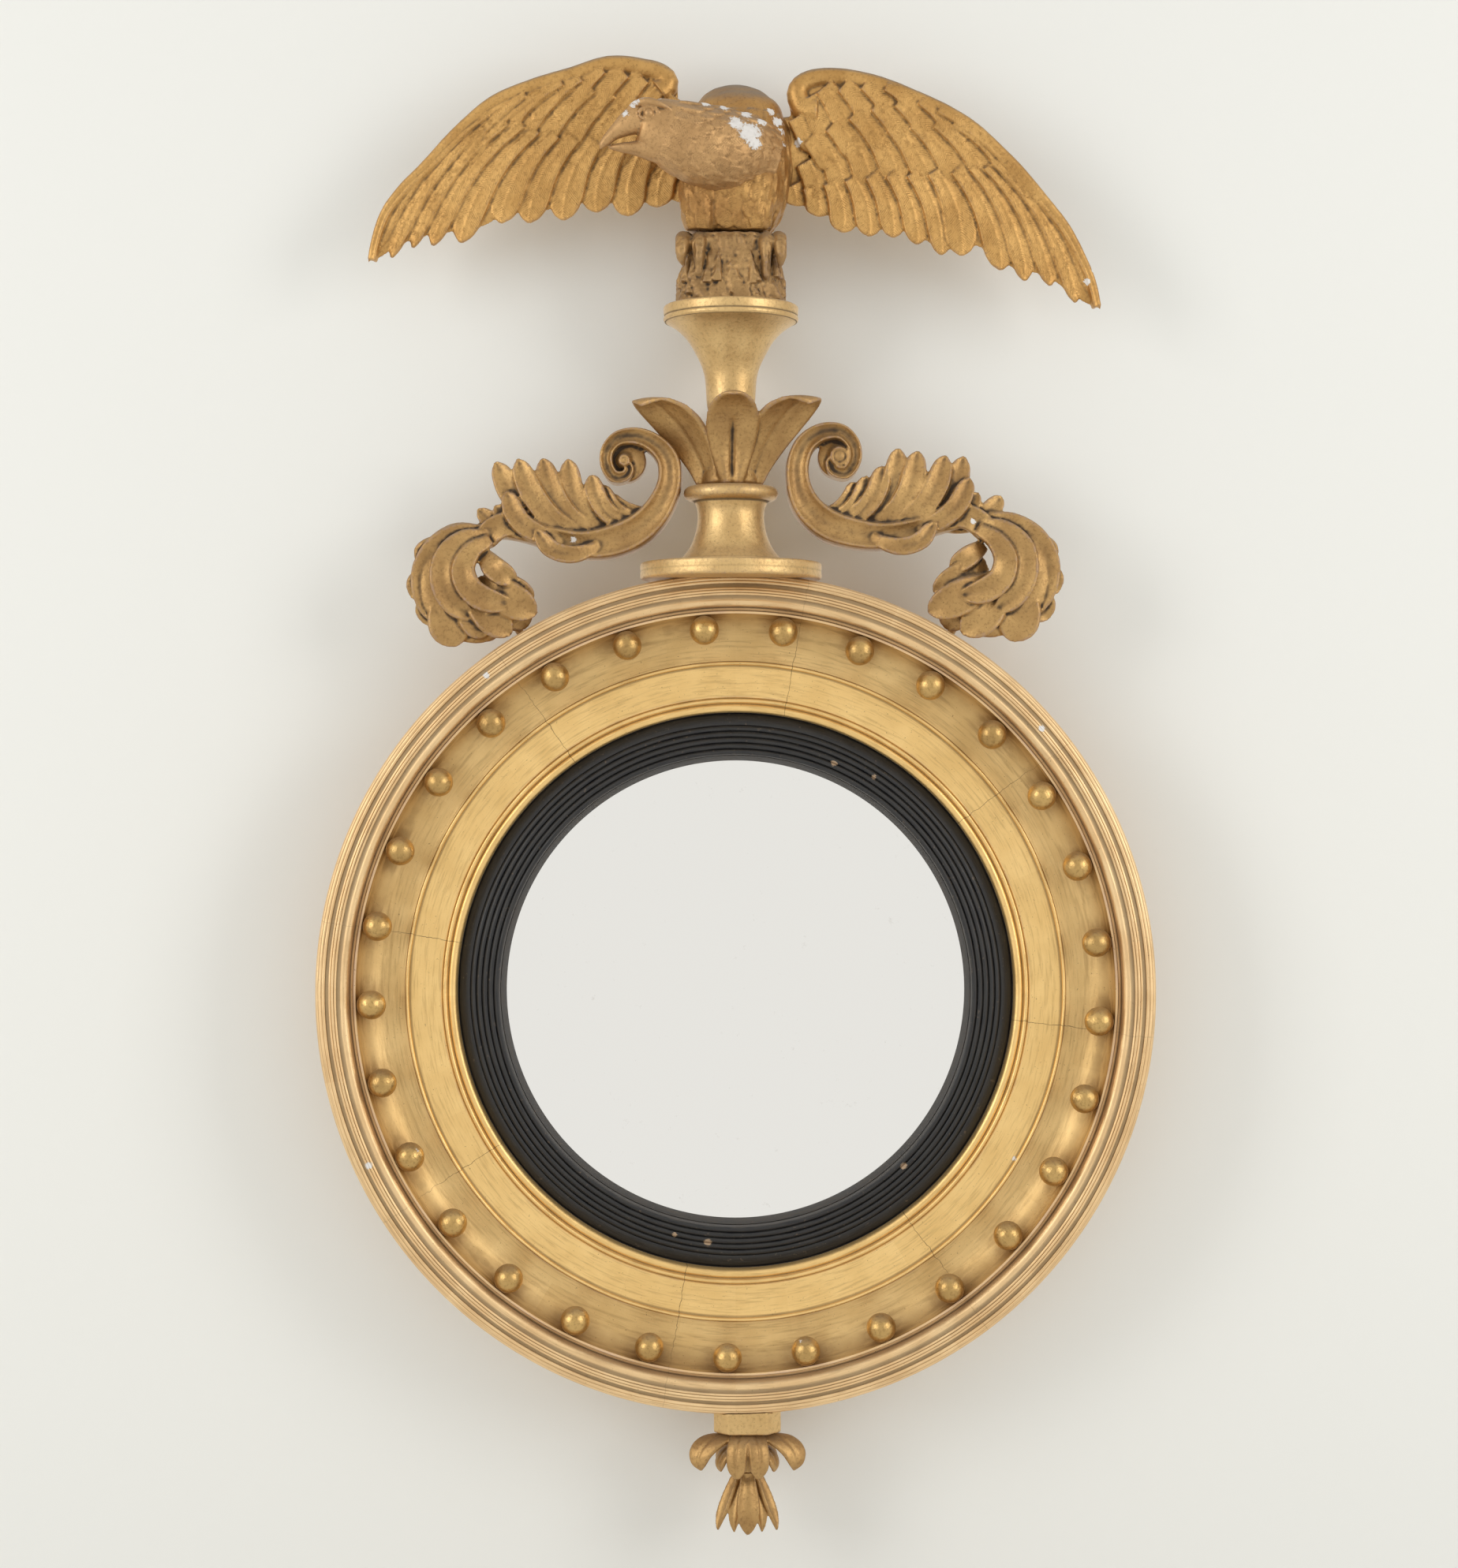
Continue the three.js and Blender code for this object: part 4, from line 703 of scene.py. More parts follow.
def frame_section():
    """Back, side, fine reeds, recess, fillet and hollow of the outer ring."""
    top = math.degrees(math.atan2(COVE_OUTER_DEPTH - COVE_DEPTH, COVE_OUTER - COVE_RADIUS))
    foot = math.degrees(math.atan2(COVE_INNER_DEPTH - COVE_DEPTH, COVE_INNER - COVE_RADIUS))
    inner, ledge = (COVE_INNER, COVE_INNER_DEPTH), (LEDGE_RADIUS, LEDGE_DEPTH)
    return (straight((LEDGE_RADIUS, BACK_DEPTH), 8, (SIDE_RADIUS, BACK_DEPTH), 12, SIDE_TOP)
            + arc(*RIM_BEAD, 6, -60, -14, 5)
            + reeded_arc(*RIM_BEAD, 6, -10, 112, 4, 0.7)
            + reeded_arc(299, 83.5, 5, 48, 132, 3, 0.8)
            + arc(291.5, 83.5, 3.5, 62, 170, 8)
            + straight((288.1, 82), 4, (288, 72.1))
            + straight((288, 72.1), 3, (285.2, 72.1), 3, (285, 76.8))
            + straight((284.6, 77.3), 2, (COVE_OUTER + 0.3, 77.4))
            + arc(COVE_RADIUS, COVE_DEPTH, COVE_SIZE, top, foot, 26)
            + straight(inner, 4, (COVE_INNER, LEDGE_DEPTH), 4, ledge, 2, (LEDGE_RADIUS, BACK_DEPTH)))


def frieze_section():
    """Inner ring: the sight bead and reed, the flat band and the raised line at the joint."""
    return (straight((214.3, 24.6), 4, (INNER_RING, 24.6), 5, (INNER_RING, 57.6))
            + arc(246.8, 57.9, 1.2, 0, 180, 8)
            + straight((245.4, 57), 2, (245.2, FRIEZE_DEPTH))
            + straight((245, FRIEZE_DEPTH), 14, (221.2, FRIEZE_DEPTH - 0.6), 2, (220.6, 53.6))
            + arc(218.8, 53.4, 1.6, 10, 175, 8)
            + straight((217, 53), 2, (216.6, 51.4))
            + arc(213.4, 50.2, 3.2, 25, 185, 12)
            + straight((210.1, 49.6), 4, (210, 42), 2, (214.3, 42), 4, (214.3, 24.6)))


def slip_face(share):
    return 50.3 - 8.6 * share**1.6


def slip_section():
    """Black slip: a plain outer band and fine reeds that step down to the glass."""
    outer = SLIP_OUTER - TOUCH
    face = []
    edges = [SIGHT, 182.4, 186.9, 191.4, 195.9, 200.4, outer]
    for first, last in zip(edges, edges[1:]):
        proud = 1.25 if last < 205 else 0.5
        for i in range(9):
            share = i / 8
            radius = first + 0.3 + (last - first - 0.6) * share
            depth = slip_face((radius - SIGHT) / (outer - SIGHT)) - 1.1
            face.append([radius, depth + proud * math.sqrt(max(1 - (2 * share - 1) ** 2, 0))])
        face.append([last, slip_face((last - SIGHT) / (outer - SIGHT)) - 1.9])
    return ([[SIGHT, glass_front(SIGHT) + TOUCH + 0.4]] + face
            + straight((outer, 41.4), 2, (FLANGE, 41.4), 2, (FLANGE, 33.3), 3, (191, 33.3))
            + [[190.8, glass_front(GLASS_RADIUS) + TOUCH], [184, glass_front(184) + TOUCH]])


def glass_front(radius):
    sphere = (GLASS_RADIUS**2 + GLASS_CROWN**2) / (2 * GLASS_CROWN)
    return GLASS_EDGE + math.sqrt(sphere**2 - radius**2) - math.sqrt(sphere**2 - GLASS_RADIUS**2)


def add_round_frame(frieze, hollow, reeds, pine, ochre):
    """The two gilt rings, the black slip and the glass."""
    def outer_finish(centres, facing):
        depth = -centres[:, 1]
        radius = np.hypot(centres[:, 0], centres[:, 2])
        side = (radius > SIDE_RADIUS - 1) & (depth < 73) & (depth > BACK_DEPTH + 0.1)
        back = (depth < BACK_DEPTH + 0.2) | (radius < LEDGE_RADIUS + 1)
        back |= (depth < LEDGE_DEPTH + 1) & (radius < COVE_INNER + 1.7)
        return np.select([back, side, radius > COVE_OUTER + 0.1], [3, 2, 1], 0)

    piece("outer_frame_gilt", [lathe(frame_section(), RING_STEPS)], [hollow, reeds, ochre, pine],
          ["frame_ring"], "gilt_frame", outer_finish, sharp=38, relief=(3, 0.5))
    piece("frieze_gilt", [lathe(frieze_section(), RING_STEPS)], [frieze], ["frieze_ring"], "gilt_frame",
          sharp=38, relief=(3, 0.4))
    piece("ebonised_reeding", [lathe(slip_section(), RING_STEPS)], [ebonised_wood("ebonised_wood")],
          ["ebonised_slip"], "ebonised", sharp=60, relief=(2, 0.5))
    radii = np.linspace(0.05, GLASS_RADIUS, 40)
    front = [[r, glass_front(r)] for r in radii]
    back = [[r, glass_front(r) - 3] for r in radii[::-1]]
    piece("convex_plate", [lathe(front + back, 180)], [silvered_glass("silvered_plate_glass")],
          ["mirror_plate"], "mirror")


# ------------------------------------------------------------------ balls in the hollow

BALL_RADIUS, BALL_PITCH, BALL_COUNT, BALL_PHASE = 11, 271.2, 29, 7.5


def ball_place(index):
    """Centre of a ball, resting in the hollow, and the way its tenon points."""
    turn = math.radians(BALL_PHASE + 360 * index / BALL_COUNT)
    seat = COVE_SIZE - BALL_RADIUS - 0.3
    outwards = (BALL_PITCH - COVE_RADIUS) / seat
    backwards = math.sqrt(1 - outwards**2)
    radial = np.array([math.sin(turn), 0, math.cos(turn)])
    centre = radial * BALL_PITCH + np.array([0, -(COVE_DEPTH - seat * backwards), 0])
    return centre, radial * outwards + np.array([0, backwards, 0])


def add_balls(gilt):
    """Each ball is turned with a tenon, a faint turning line and a slightly flattened face."""
    for index in range(BALL_COUNT):
        centre, inwards = ball_place(index)
        wobble = np.random.RandomState(index)
        section = []
        for angle in np.linspace(0.02, math.pi - 0.22, 34):
            line = 0.06 * math.sin(angle * 23 + index)
            section.append([(BALL_RADIUS + line) * math.sin(angle), -(BALL_RADIUS + line) * math.cos(angle)])
        section += [[2.4, BALL_RADIUS + 0.4], [2.4, BALL_RADIUS + 2.5], [0.02, BALL_RADIUS + 2.5]]
        points, faces, marks = lathe([[r, -h] for r, h in section], 48, closed=False)
        points = points * (1 - wobble.uniform(0, 0.03, 3))
        across = unit(np.cross(inwards, [0.3, 0.2, 1.0]))
        up = np.cross(across, inwards)
        ball = (points @ np.stack([across, inwards, up]) + centre, faces, marks)
        piece(f"gilt_ball_{index + 1:02d}", [ball], [gilt], [f"ball_{index + 1:02d}"], "gilt_frame",
              relief=(6, 0.3))




# ------------------------------------------------------------------ turnings of the crest


RIM_DEPTHS = (BACK_DEPTH, 74.6, 80, 84, 86.4, 88.8)
RIM_RADII = (298.2, 309.5, 312.8, 311.5, 307, 300)
RIM_FRONT = RIM_DEPTHS[-1]


def rim_at(depth):
    """Radius of the frame's outside at a depth."""
    return np.interp(depth, RIM_DEPTHS, RIM_RADII)


def clear_of_rim(points):
    """Moves points that would lie inside the frame straight out to its surface."""
    radius = np.hypot(points[:, 0], points[:, 2])
    depth = -points[:, 1]
    inside = (depth < RIM_FRONT) & (radius < rim_at(depth) + TOUCH)
    push = np.where(inside, (rim_at(depth) + TOUCH) / np.maximum(radius, 1), 1)
    return points * np.stack([push, np.ones_like(push), push], axis=1)


def frame_cutter():
    outline = [[0.05, -20], [298.2, -20], [298.2, BACK_DEPTH], [309.5, 74.6]]
    outline += arc(*RIM_BEAD, 6.3, -20, 80, 10) + [[299, RIM_FRONT], [0.05, RIM_FRONT]]
    return cutter(lathe(outline, RING_STEPS))


def on_crest(shell_piece, height=0.0, turn=0.0):
    return moved(shell_piece, (CREST_X, -AXIS_DEPTH, height), turn)


def turned_piece(name, section, material, node, cutters=()):
    """A turned and gessoed piece on the crest's axis, with the small dents of age."""
    obj = piece(name, [on_crest(lathe(section, 160, "z"))], [material], [node], "gilt_frame",
                sharp=45, cutters=cutters)
    points = coordinates(obj.data)
    dent = ripple(points, 14, len(name)) * 0.12
    points[:, :2] += (unit(points[:, :2] - np.array([CREST_X, -AXIS_DEPTH])) * dent[:, None]) * (not cutters)
    move_points(obj.data, points)
    mark_relief(obj.data, 4, 0.4)
    return obj


def add_crest_turnings(gilt):
    cutters = [frame_cutter(), box_cutter((-200, -FRAME_BACK, 200), (200, 100, 400))]
    disc = [[0.05, 0], [30, 0], [60, 0]] + arc(66, 2, 2, -90, 0, 4) + [[68, 4], [67.7, 6], [68, 8.2]]
    disc += arc(65.9, 10.2, 2.1, 0, 90, 5)
    disc += [[62, 12.2], [46, 12], [42, PLINTH_HEIGHT], [0.05, PLINTH_HEIGHT]]
    turned_piece("gilt_plinth_disc", [[r, h + CREST_FOOT] for r, h in disc], gilt, "plinth_disc", cutters)
    discard(cutters)
    foot, top = PEDESTAL_Z, PEDESTAL_TOP
    spool = straight((0.05, foot), 4, (37.6, foot)) + arc(37.4, foot + 1.6, 1.1, -80, 80, 5)
    spool += turned([(37.2, foot + 3.2), (31.5, foot + 10.5), (27, foot + 21), (25, foot + 32),
                     (25.4, foot + 40), (27.6, foot + 45.8)], 26)
    spool += [[28.6, top - 10.9]] + arc(30.2, top - 5.3, 5.3, -80, 90, 12)
    spool += straight((30, top), 4, (0.05, top))
    turned_piece("gilt_pedestal", spool, gilt, "pedestal")
    rise = STEM_TOP - STEM_Z
    keys = [(13.5, 0), (13.6, 0.2), (16.4, 0.32), (18, 0.39), (18.6, 0.46), (20.1, 0.58), (26, 0.7),
            (34.6, 0.81), (42.5, 0.87), (48.4, 0.9)]
    trumpet = [[0.05, STEM_Z]] + turned([(r, STEM_Z + rise * share) for r, share in keys], 60)
    trumpet += [[49.6, STEM_TOP - 11.6]] + arc(47.9, STEM_TOP - 9.6, 2.7, -50, 40, 6)
    trumpet += [[50.3, STEM_TOP - 6], [50.5, STEM_TOP - 3.4]] + arc(48.6, STEM_TOP - 1.9, 1.9, 0, 90, 5)
    trumpet += straight((46, STEM_TOP - 0.3), 4, (0.05, STEM_TOP))
    turned_piece("gilt_trumpet", trumpet, gilt, "trumpet_stem")


def box_cutter(low, high):
    x, y, z = zip(low, high)
    rings = [[(x[0], y[0], h), (x[1], y[0], h), (x[1], y[1], h), (x[0], y[1], h)] for h in z]
    return cutter(shell(rings))


def soft_edge(u, start):
    """How far the surface falls away near the rounded edge of a leaf, from 0 to 1."""
    return np.clip((np.abs(u) - start) / (1 - start), 0, 1) ** 2


def ramp(t, start, end):
    share = np.clip((t - start) / (end - start), 0, 1)
    return share * share * (3 - 2 * share)


def fluted(u, t):
    """Front of a calyx leaf: two full flutes beside a groove that ends below the tip."""
    flutes = 0.6 * (1 - np.cos(2 * np.pi * u)) / 2 - 0.75 * np.exp(-(u / 0.1) ** 2)
    return 0.9 + flutes * (1 - ramp(t, 0.5, 0.68)) - 0.6 * soft_edge(u, 0.82)


def valley(u, t):
    """Front of a side leaf: a broad valley between raised, rounded edges."""
    return 0.6 + 0.8 * np.abs(u) ** 2 - 0.25 * np.exp(-(u / 0.1) ** 2) - 0.9 * soft_edge(u, 0.84)


def cupped(u, t):
    return -0.75 + 0.75 * u**2


# Leaves of the calyx as [reach, height, half width, thickness].
FRONT_LEAF = [[19, 0, 9, 3.4], [21, 12, 13, 3.4], [24, 26, 17, 3.4], [30, 39, 19.5, 3.2], [38, 50, 19, 3.0],
              [45, 57, 16, 2.8], [51, 61, 11.5, 2.6], [55.5, 62.5, 7, 2.2], [58.5, 61.5, 1.5, 1.6]]
SIDE_LEAF = [[18, 0, 9, 3.4], [22, 12, 13, 3.4], [29, 26, 18, 3.2], [39, 40, 22, 3.0], [50, 51.5, 23, 2.8],
             [60, 59, 20, 2.6], [66.5, 61.5, 14.5, 2.4], [70, 59, 8, 2], [71, 56, 1.5, 1]]


def calyx_leaf(rows, front, turn, reach=1.0, wide=1.0, twist=0):
    """A leaf that climbs the stem, leans out and turns its tip over; twist shows its face."""
    rows = [[0, -20 - (r - 20) * reach, CALYX_Z + 1 + h, w * wide, thick] for r, h, w, thick in rows]
    across = (math.cos(math.radians(twist)), math.sin(math.radians(twist)), 0)
    return on_crest(blade(rows, front, cupped, 46, 27, across=across), 0, turn)


def add_calyx(carved_gilt):
    foot = turned([(18.5, 0), (22, 1.2), (22.2, 8), (20.5, 15)], 12)
    core = [[0.05, CALYX_Z]] + [[r, CALYX_Z + h] for r, h in foot] + [[0.05, CALYX_Z + 15]]
    shells = [on_crest(lathe(core, 64, "z")), calyx_leaf(FRONT_LEAF, fluted, 2)]
    for turn, reach, wide, twist in ((57, 0.96, 0.95, -34), (122, 0.9, 0.9, 0), (168, 0.62, 0.85, 0),
                                     (235, 0.85, 0.9, 0), (291, 0.98, 1.0, 38)):
        shells.append(calyx_leaf(SIDE_LEAF, valley, turn, reach, wide, twist))
    carving("gilt_calyx", "leaf_calyx", shells, 1.0, carved_gilt, 0.1, (12, 0.7))


# ------------------------------------------------------------------ scrolls


def channelled(u, t):
    """Front of a scroll: a hollow between two raised rims."""
    edge = np.abs(u)
    return 1 - 0.26 * (1 - np.clip(edge / 0.74, 0, 1) ** 2) - 0.5 * np.clip((edge - 0.84) / 0.16, 0, 1) ** 2


def plain_back(u, t):
    return -0.85 + 0.35 * u**4


def gouged(u, t):
    """Front of an acanthus lobe: full at its root and scooped out towards its tip."""
    return 0.9 - 0.7 * ramp(t, 0.1, 0.7) * (1 - np.abs(u) ** 1.6) - 0.5 * soft_edge(u, 0.86)


def domed(u, t):
    """Front of the flesh of a leaf, between its lobes and the band."""
    return 0.8 - 0.9 * u**4


BLUNT = (0, 0.2, 0.4, 0.6, 0.76, 0.87, 0.95, 1.0)


def lobe(kind, wide, depth, rise, *path):
    """One lobe of a leaf on the front of the crest, along its path, with a blunt tip."""
    thick, front, widths = kind
    line = spline([[x, 0, z] for x, z in zip(path[::2], path[1::2])], 40)
    at = np.linspace(0, 1, 40)
    rows = []
    for share, width in zip(BLUNT, widths):
        x, z = (np.interp(share, at, line[:, k]) for k in (0, 2))
        lift = rise * math.sin(math.pi * (0.12 + 0.6 * share))
        rows.append([x, -(depth + lift), z, wide * width, thick * (1 - 0.45 * share)])
    return blade(rows, front, plain_back, 44, 19)


SCROLL_LINES = {
    "scroll_right": [(75, 399.5, 3.8, 12), (71, 396.5, 4.2, 12), (73, 390.5, 4.6, 13), (81.5, 388, 5, 14),
        (88.5, 396.5, 5.2, 14), (88, 409, 5.6, 14), (79, 418.5, 6.2, 14), (66.5, 419, 7, 14.5),
        (53.5, 411.5, 7.8, 15), (47, 398.5, 8.5, 15), (46.5, 381.5, 9.3, 15), (53, 364, 11, 15),
        (67.5, 350.5, 12, 15), (87, 343.5, 11.5, 15), (109, 341, 10.2, 14), (131, 344.5, 9, 13),
        (152, 350.5, 7.6, 12), (171, 353, 6.5, 11), (190, 352, 6, 9)],
    "scroll_left": [(-83.5, 396, 3, 12), (-79.5, 392.5, 3.6, 12), (-81.5, 386.5, 4.2, 13),
        (-90, 385, 4.8, 14), (-96, 393.5, 5, 14), (-96, 404, 5.2, 14), (-89, 413, 5.8, 14),
        (-77.5, 415.8, 6.6, 14.5), (-62, 411, 7.4, 15), (-51, 399, 8.6, 15), (-49, 384, 9.2, 15),
        (-55.5, 365, 10.5, 15), (-70.5, 347.5, 12, 15), (-93, 337, 12.2, 15), (-113, 334.5, 10.5, 14),
        (-133, 338, 9.2, 13), (-155, 344, 8, 12), (-174, 346, 6.6, 11), (-192, 344, 6, 9)],
}

# Kinds of lobe: thickness, front and widths from root to tip.
FULL_WIDTHS = (0.5, 0.8, 1, 1.05, 1.05, 0.92, 0.6, 0.1)
FULL, SMALL = (5.5, gouged, FULL_WIDTHS), (5, gouged, FULL_WIDTHS)
EDGE = (4.5, gouged, (0.6, 0.85, 1, 1, 0.9, 0.7, 0.42, 0.08))
FLESH = (6, domed, (0.3, 0.7, 0.95, 1.05, 1.05, 0.95, 0.75, 0.4))
BROAD = (7, domed, (0.3, 0.62, 0.9, 1.05, 1.1, 1.0, 0.75, 0.3))

# Each lobe: its kind, half width, depth of the root and rise, then the [x, z] points of its path. The
# flesh of the rising leaf comes first, then its lobes, the drooping leaf's flesh, ridges and edge.
SCROLL_LOBES = {
    "scroll_right": [(FLESH, 10, 54, 12, 62, 352, 80, 355, 96, 361, 108, 370),
        (FLESH, 13, 54, 12, 88, 348, 106, 358, 120, 370, 130, 386),
        (FLESH, 13, 54, 12, 112, 346, 134, 354, 150, 366, 162, 384),
        (FULL, 5, 56, 14, 64, 358, 76, 362, 84, 370, 89, 381.5),
        (FULL, 6, 56, 15, 68, 353, 82, 358, 92, 369, 98, 386),
        (FULL, 7.5, 56, 16, 74, 350, 92, 358, 104, 372, 110, 393.5),
        (FULL, 8, 55, 15, 90, 347, 106, 358, 117, 378, 122, 407),
        (FULL, 8.5, 55, 16, 98, 346, 116, 356, 129, 374, 136.5, 405),
        (FULL, 8.5, 56, 16, 108, 345, 131, 355, 147, 373, 157, 401.5),
        (FULL, 8.5, 55, 15, 118, 345, 143, 352, 160, 371, 171, 401),
        (FULL, 7.5, 58, 17, 130, 344, 148, 350, 163, 361, 175, 384),
        (FULL, 6, 56, 14, 150, 348, 164, 352, 173, 360, 181, 374),
        (FULL, 7, 54, 14, 156, 348, 172, 350, 186, 357, 199.5, 371),
        (BROAD, 22, 54, 22, 184, 350, 203, 346, 216, 332, 216, 312, 205, 297, 188, 288, 168, 287),
        (FULL, 8.5, 56, 21, 184, 354, 208, 351, 226, 336, 233, 316, 228, 296, 219, 281),
        (FULL, 9, 60, 25, 183, 350, 200, 345, 213, 331, 215, 312, 206, 295, 193, 285),
        (FULL, 9, 62, 27, 182, 345, 193, 337, 200, 323, 196, 308, 184, 299, 168, 296),
        (EDGE, 11, 60, 12, 210, 336, 226, 332, 240, 324), (EDGE, 13, 60, 12, 214, 314, 229, 310, 242, 300),
        (EDGE, 13, 60, 12, 210, 300, 224, 291, 234, 279), (EDGE, 16, 62, 16, 203, 304, 211, 285, 206, 262),
        (EDGE, 13, 62, 20, 196, 302, 187, 284, 168, 268), (EDGE, 13, 64, 20, 192, 306, 168, 295, 143, 283.5),
        (SMALL, 10, 56, 12, 180, 302, 168, 288, 157, 272), (EDGE, 9, 60, 20, 186, 319, 166, 311, 147, 299),
        (EDGE, 8, 60, 20, 184, 333, 173, 325, 160, 316)],
    "scroll_left": [(FLESH, 10, 54, 12, -62, 350, -80, 352, -96, 357, -107, 364),
        (FLESH, 13, 54, 12, -86, 343, -106, 352, -122, 364, -134, 380),
        (FLESH, 13, 54, 12, -110, 340, -134, 348, -154, 361, -168, 380),
        (FULL, 4.5, 56, 14, -66, 360, -78, 361, -87, 365, -93, 372),
        (FULL, 5.5, 56, 15, -70, 354, -84, 357, -93, 365, -99, 379),
        (FULL, 7, 56, 16, -76, 348, -91, 354, -102, 367, -108, 387),
        (FULL, 8, 55, 15, -88, 343, -108, 352, -120, 370, -125.5, 399),
        (FULL, 8.5, 55, 16, -96, 341, -119, 350, -134, 368, -144.5, 399.5),
        (FULL, 8.5, 56, 16, -104, 339, -130, 348, -149, 368, -163, 399),
        (FULL, 9, 55, 15, -112, 337, -140, 345, -162, 365, -179.5, 397),
        (FULL, 7.5, 58, 17, -122, 338, -146, 342, -161, 352, -171, 374),
        (FULL, 6.5, 56, 15, -134, 339, -156, 343, -169, 351, -179.5, 364.5),
        (FULL, 6.5, 54, 14, -142, 341, -163, 344, -179, 350, -193, 361.5),
        (BROAD, 22, 54, 22, -186, 343, -205, 340, -218, 327, -219, 308, -210, 293, -194, 284, -172, 284),
        (FULL, 8.5, 56, 21, -186, 345, -208, 343, -226, 329, -233, 310, -229, 290, -221, 276),
        (FULL, 9, 60, 25, -185, 341, -202, 338, -215, 324, -217, 304, -208, 289, -196, 280),
        (FULL, 9, 62, 27, -184, 337, -195, 330, -202, 316, -197, 301, -184, 292, -168, 290),
        (EDGE, 11, 60, 12, -212, 332, -227, 329, -238, 321),
        (EDGE, 13, 60, 12, -216, 310, -231, 305, -243, 296),
        (EDGE, 13, 60, 12, -212, 296, -225, 287, -232, 275),
        (EDGE, 16, 62, 16, -206, 300, -213, 281, -209.5, 258),
        (EDGE, 11, 62, 18, -200, 297, -196, 281, -187, 265),
        (EDGE, 12, 63, 20, -196, 300, -184, 282, -167, 267),
        (EDGE, 13, 64, 20, -192, 304, -170, 294, -148, 282),
        (SMALL, 10, 56, 12, -182, 298, -168, 286, -156, 273),
        (EDGE, 9, 60, 20, -186, 312, -170, 304, -150, 295),
        (EDGE, 9, 64, 23, -187, 326, -178, 315, -163, 307)],
}


def volute_eye(x, z, size):
    """The round face of a volute: a button in a groove, on a web that closes the coil behind."""
    button = [(2, 6), (1.2, 7), (0, 11), (-0.8, 12.6), (-1.8, 13), (-2.6, 11.6), (-3.2, 12)]
    section = [[0.05, -11], [16, -11], [16, 4], *([size + out, h] for out, h in button), [0.05, 13.4]]
    return moved(lathe(section, 48), (x, -AXIS_DEPTH, z))


def scroll_peg(side):
    """The peg that holds the scroll's end leaf in the side of the frame."""
    turn = math.radians(31) * side
    ends = [np.array([math.sin(turn) * r, -52, math.cos(turn) * r]) for r in (302, 334)]
    return limb([[*end, 3.2, 3.2] for end in ends], 4, 12)


def add_scroll(name, carved_gilt):
    side = 1 if name == "scroll_right" else -1
    rows = [[x, -AXIS_DEPTH, z, wide, deep] for x, z, wide, deep in SCROLL_LINES[name]]
    shells = [blade(rows, channelled, plain_back, 150, 25)]
    shells += [lobe(*row) for row in SCROLL_LOBES[name]]
    shells.append(volute_eye(*((77.5, 400.5, 7.5) if side > 0 else (-83, 397.5, 4.6))))
    drop = 0 if side > 0 else 6
    for wide, depth, rise, *path in ((6.5, 60, 19, 100, 341, 118, 333, 136, 336, 148, 350),
                                     (9, 56, 17, 150, 352, 168, 356, 182, 350, 188, 338)):
        place = [side * c if i % 2 == 0 else c - drop for i, c in enumerate(path)]
        shells.append(lobe(FULL, wide, depth, rise, *place))
    shells.append(scroll_peg(side))
    carving("acanthus_" + name, name, shells, 1.05, carved_gilt, 0.12, (12, 0.65), clear_of_rim)


# ------------------------------------------------------------------ eagle


def overlapping(u, t):
    """Front of a feather: a fine shaft, and one edge that stands over its neighbour."""
    edge = np.clip((np.abs(u) - 0.86) / 0.14, 0, 1)
    return 0.6 + 0.36 * u + 0.14 * np.exp(-(u / 0.08) ** 2) - 0.4 * edge**2


def feather_back(u, t):
    return -0.8 + 0.3 * u**2


FEATHER_SHARES = (0, 0.2, 0.42, 0.62, 0.78, 0.89, 0.96, 1.0)
FEATHER_WIDTHS = (0.95, 1.0, 1.0, 1.0, 0.93, 0.74, 0.46, 0.12)


def quill(root, tip, bow):
    """Points along a feather that bows towards the wing's front edge."""
    root, tip = np.array(root, float), np.array(tip, float)
    across = np.array([tip[1] - root[1], root[0] - tip[0]]) * bow
    return np.array([root + (tip - root) * share + across * 4 * share * (1 - share)
                     for share in FEATHER_SHARES])


def feather_row(row, side):
    """A row of feathers, each as wide as its place between its neighbours."""
    depth, thick, bow, places = row
    quills = [quill(place[:2], place[2:], bow * -side) for place in places]
    shells = []
    for i, line in enumerate(quills):
        before, after = quills[max(i - 1, 0)], quills[min(i + 1, len(quills) - 1)]
        spans_two = 2 if 0 < i < len(quills) - 1 else 1
        along = unit(np.gradient(line, axis=0))
        apart = after - before
        gap = np.abs(apart[:, 0] * along[:, 1] - apart[:, 1] * along[:, 0]) / spans_two
        wide = np.clip(gap * 0.6, 4, 13) * np.array(FEATHER_WIDTHS)
        rows = []
        for (x, z), half, share in zip(line, wide, FEATHER_SHARES):
            y = -(depth + wing_depth(x) + 0.9 - 2.3 * share)
            rows.append([x, y, z, half, thick * (1 - 0.45 * share)])
        shells.append(blade(rows, lambda u, t: overlapping(u * side, t), feather_back, 48, 21, barbs=-0.9))
    return shells


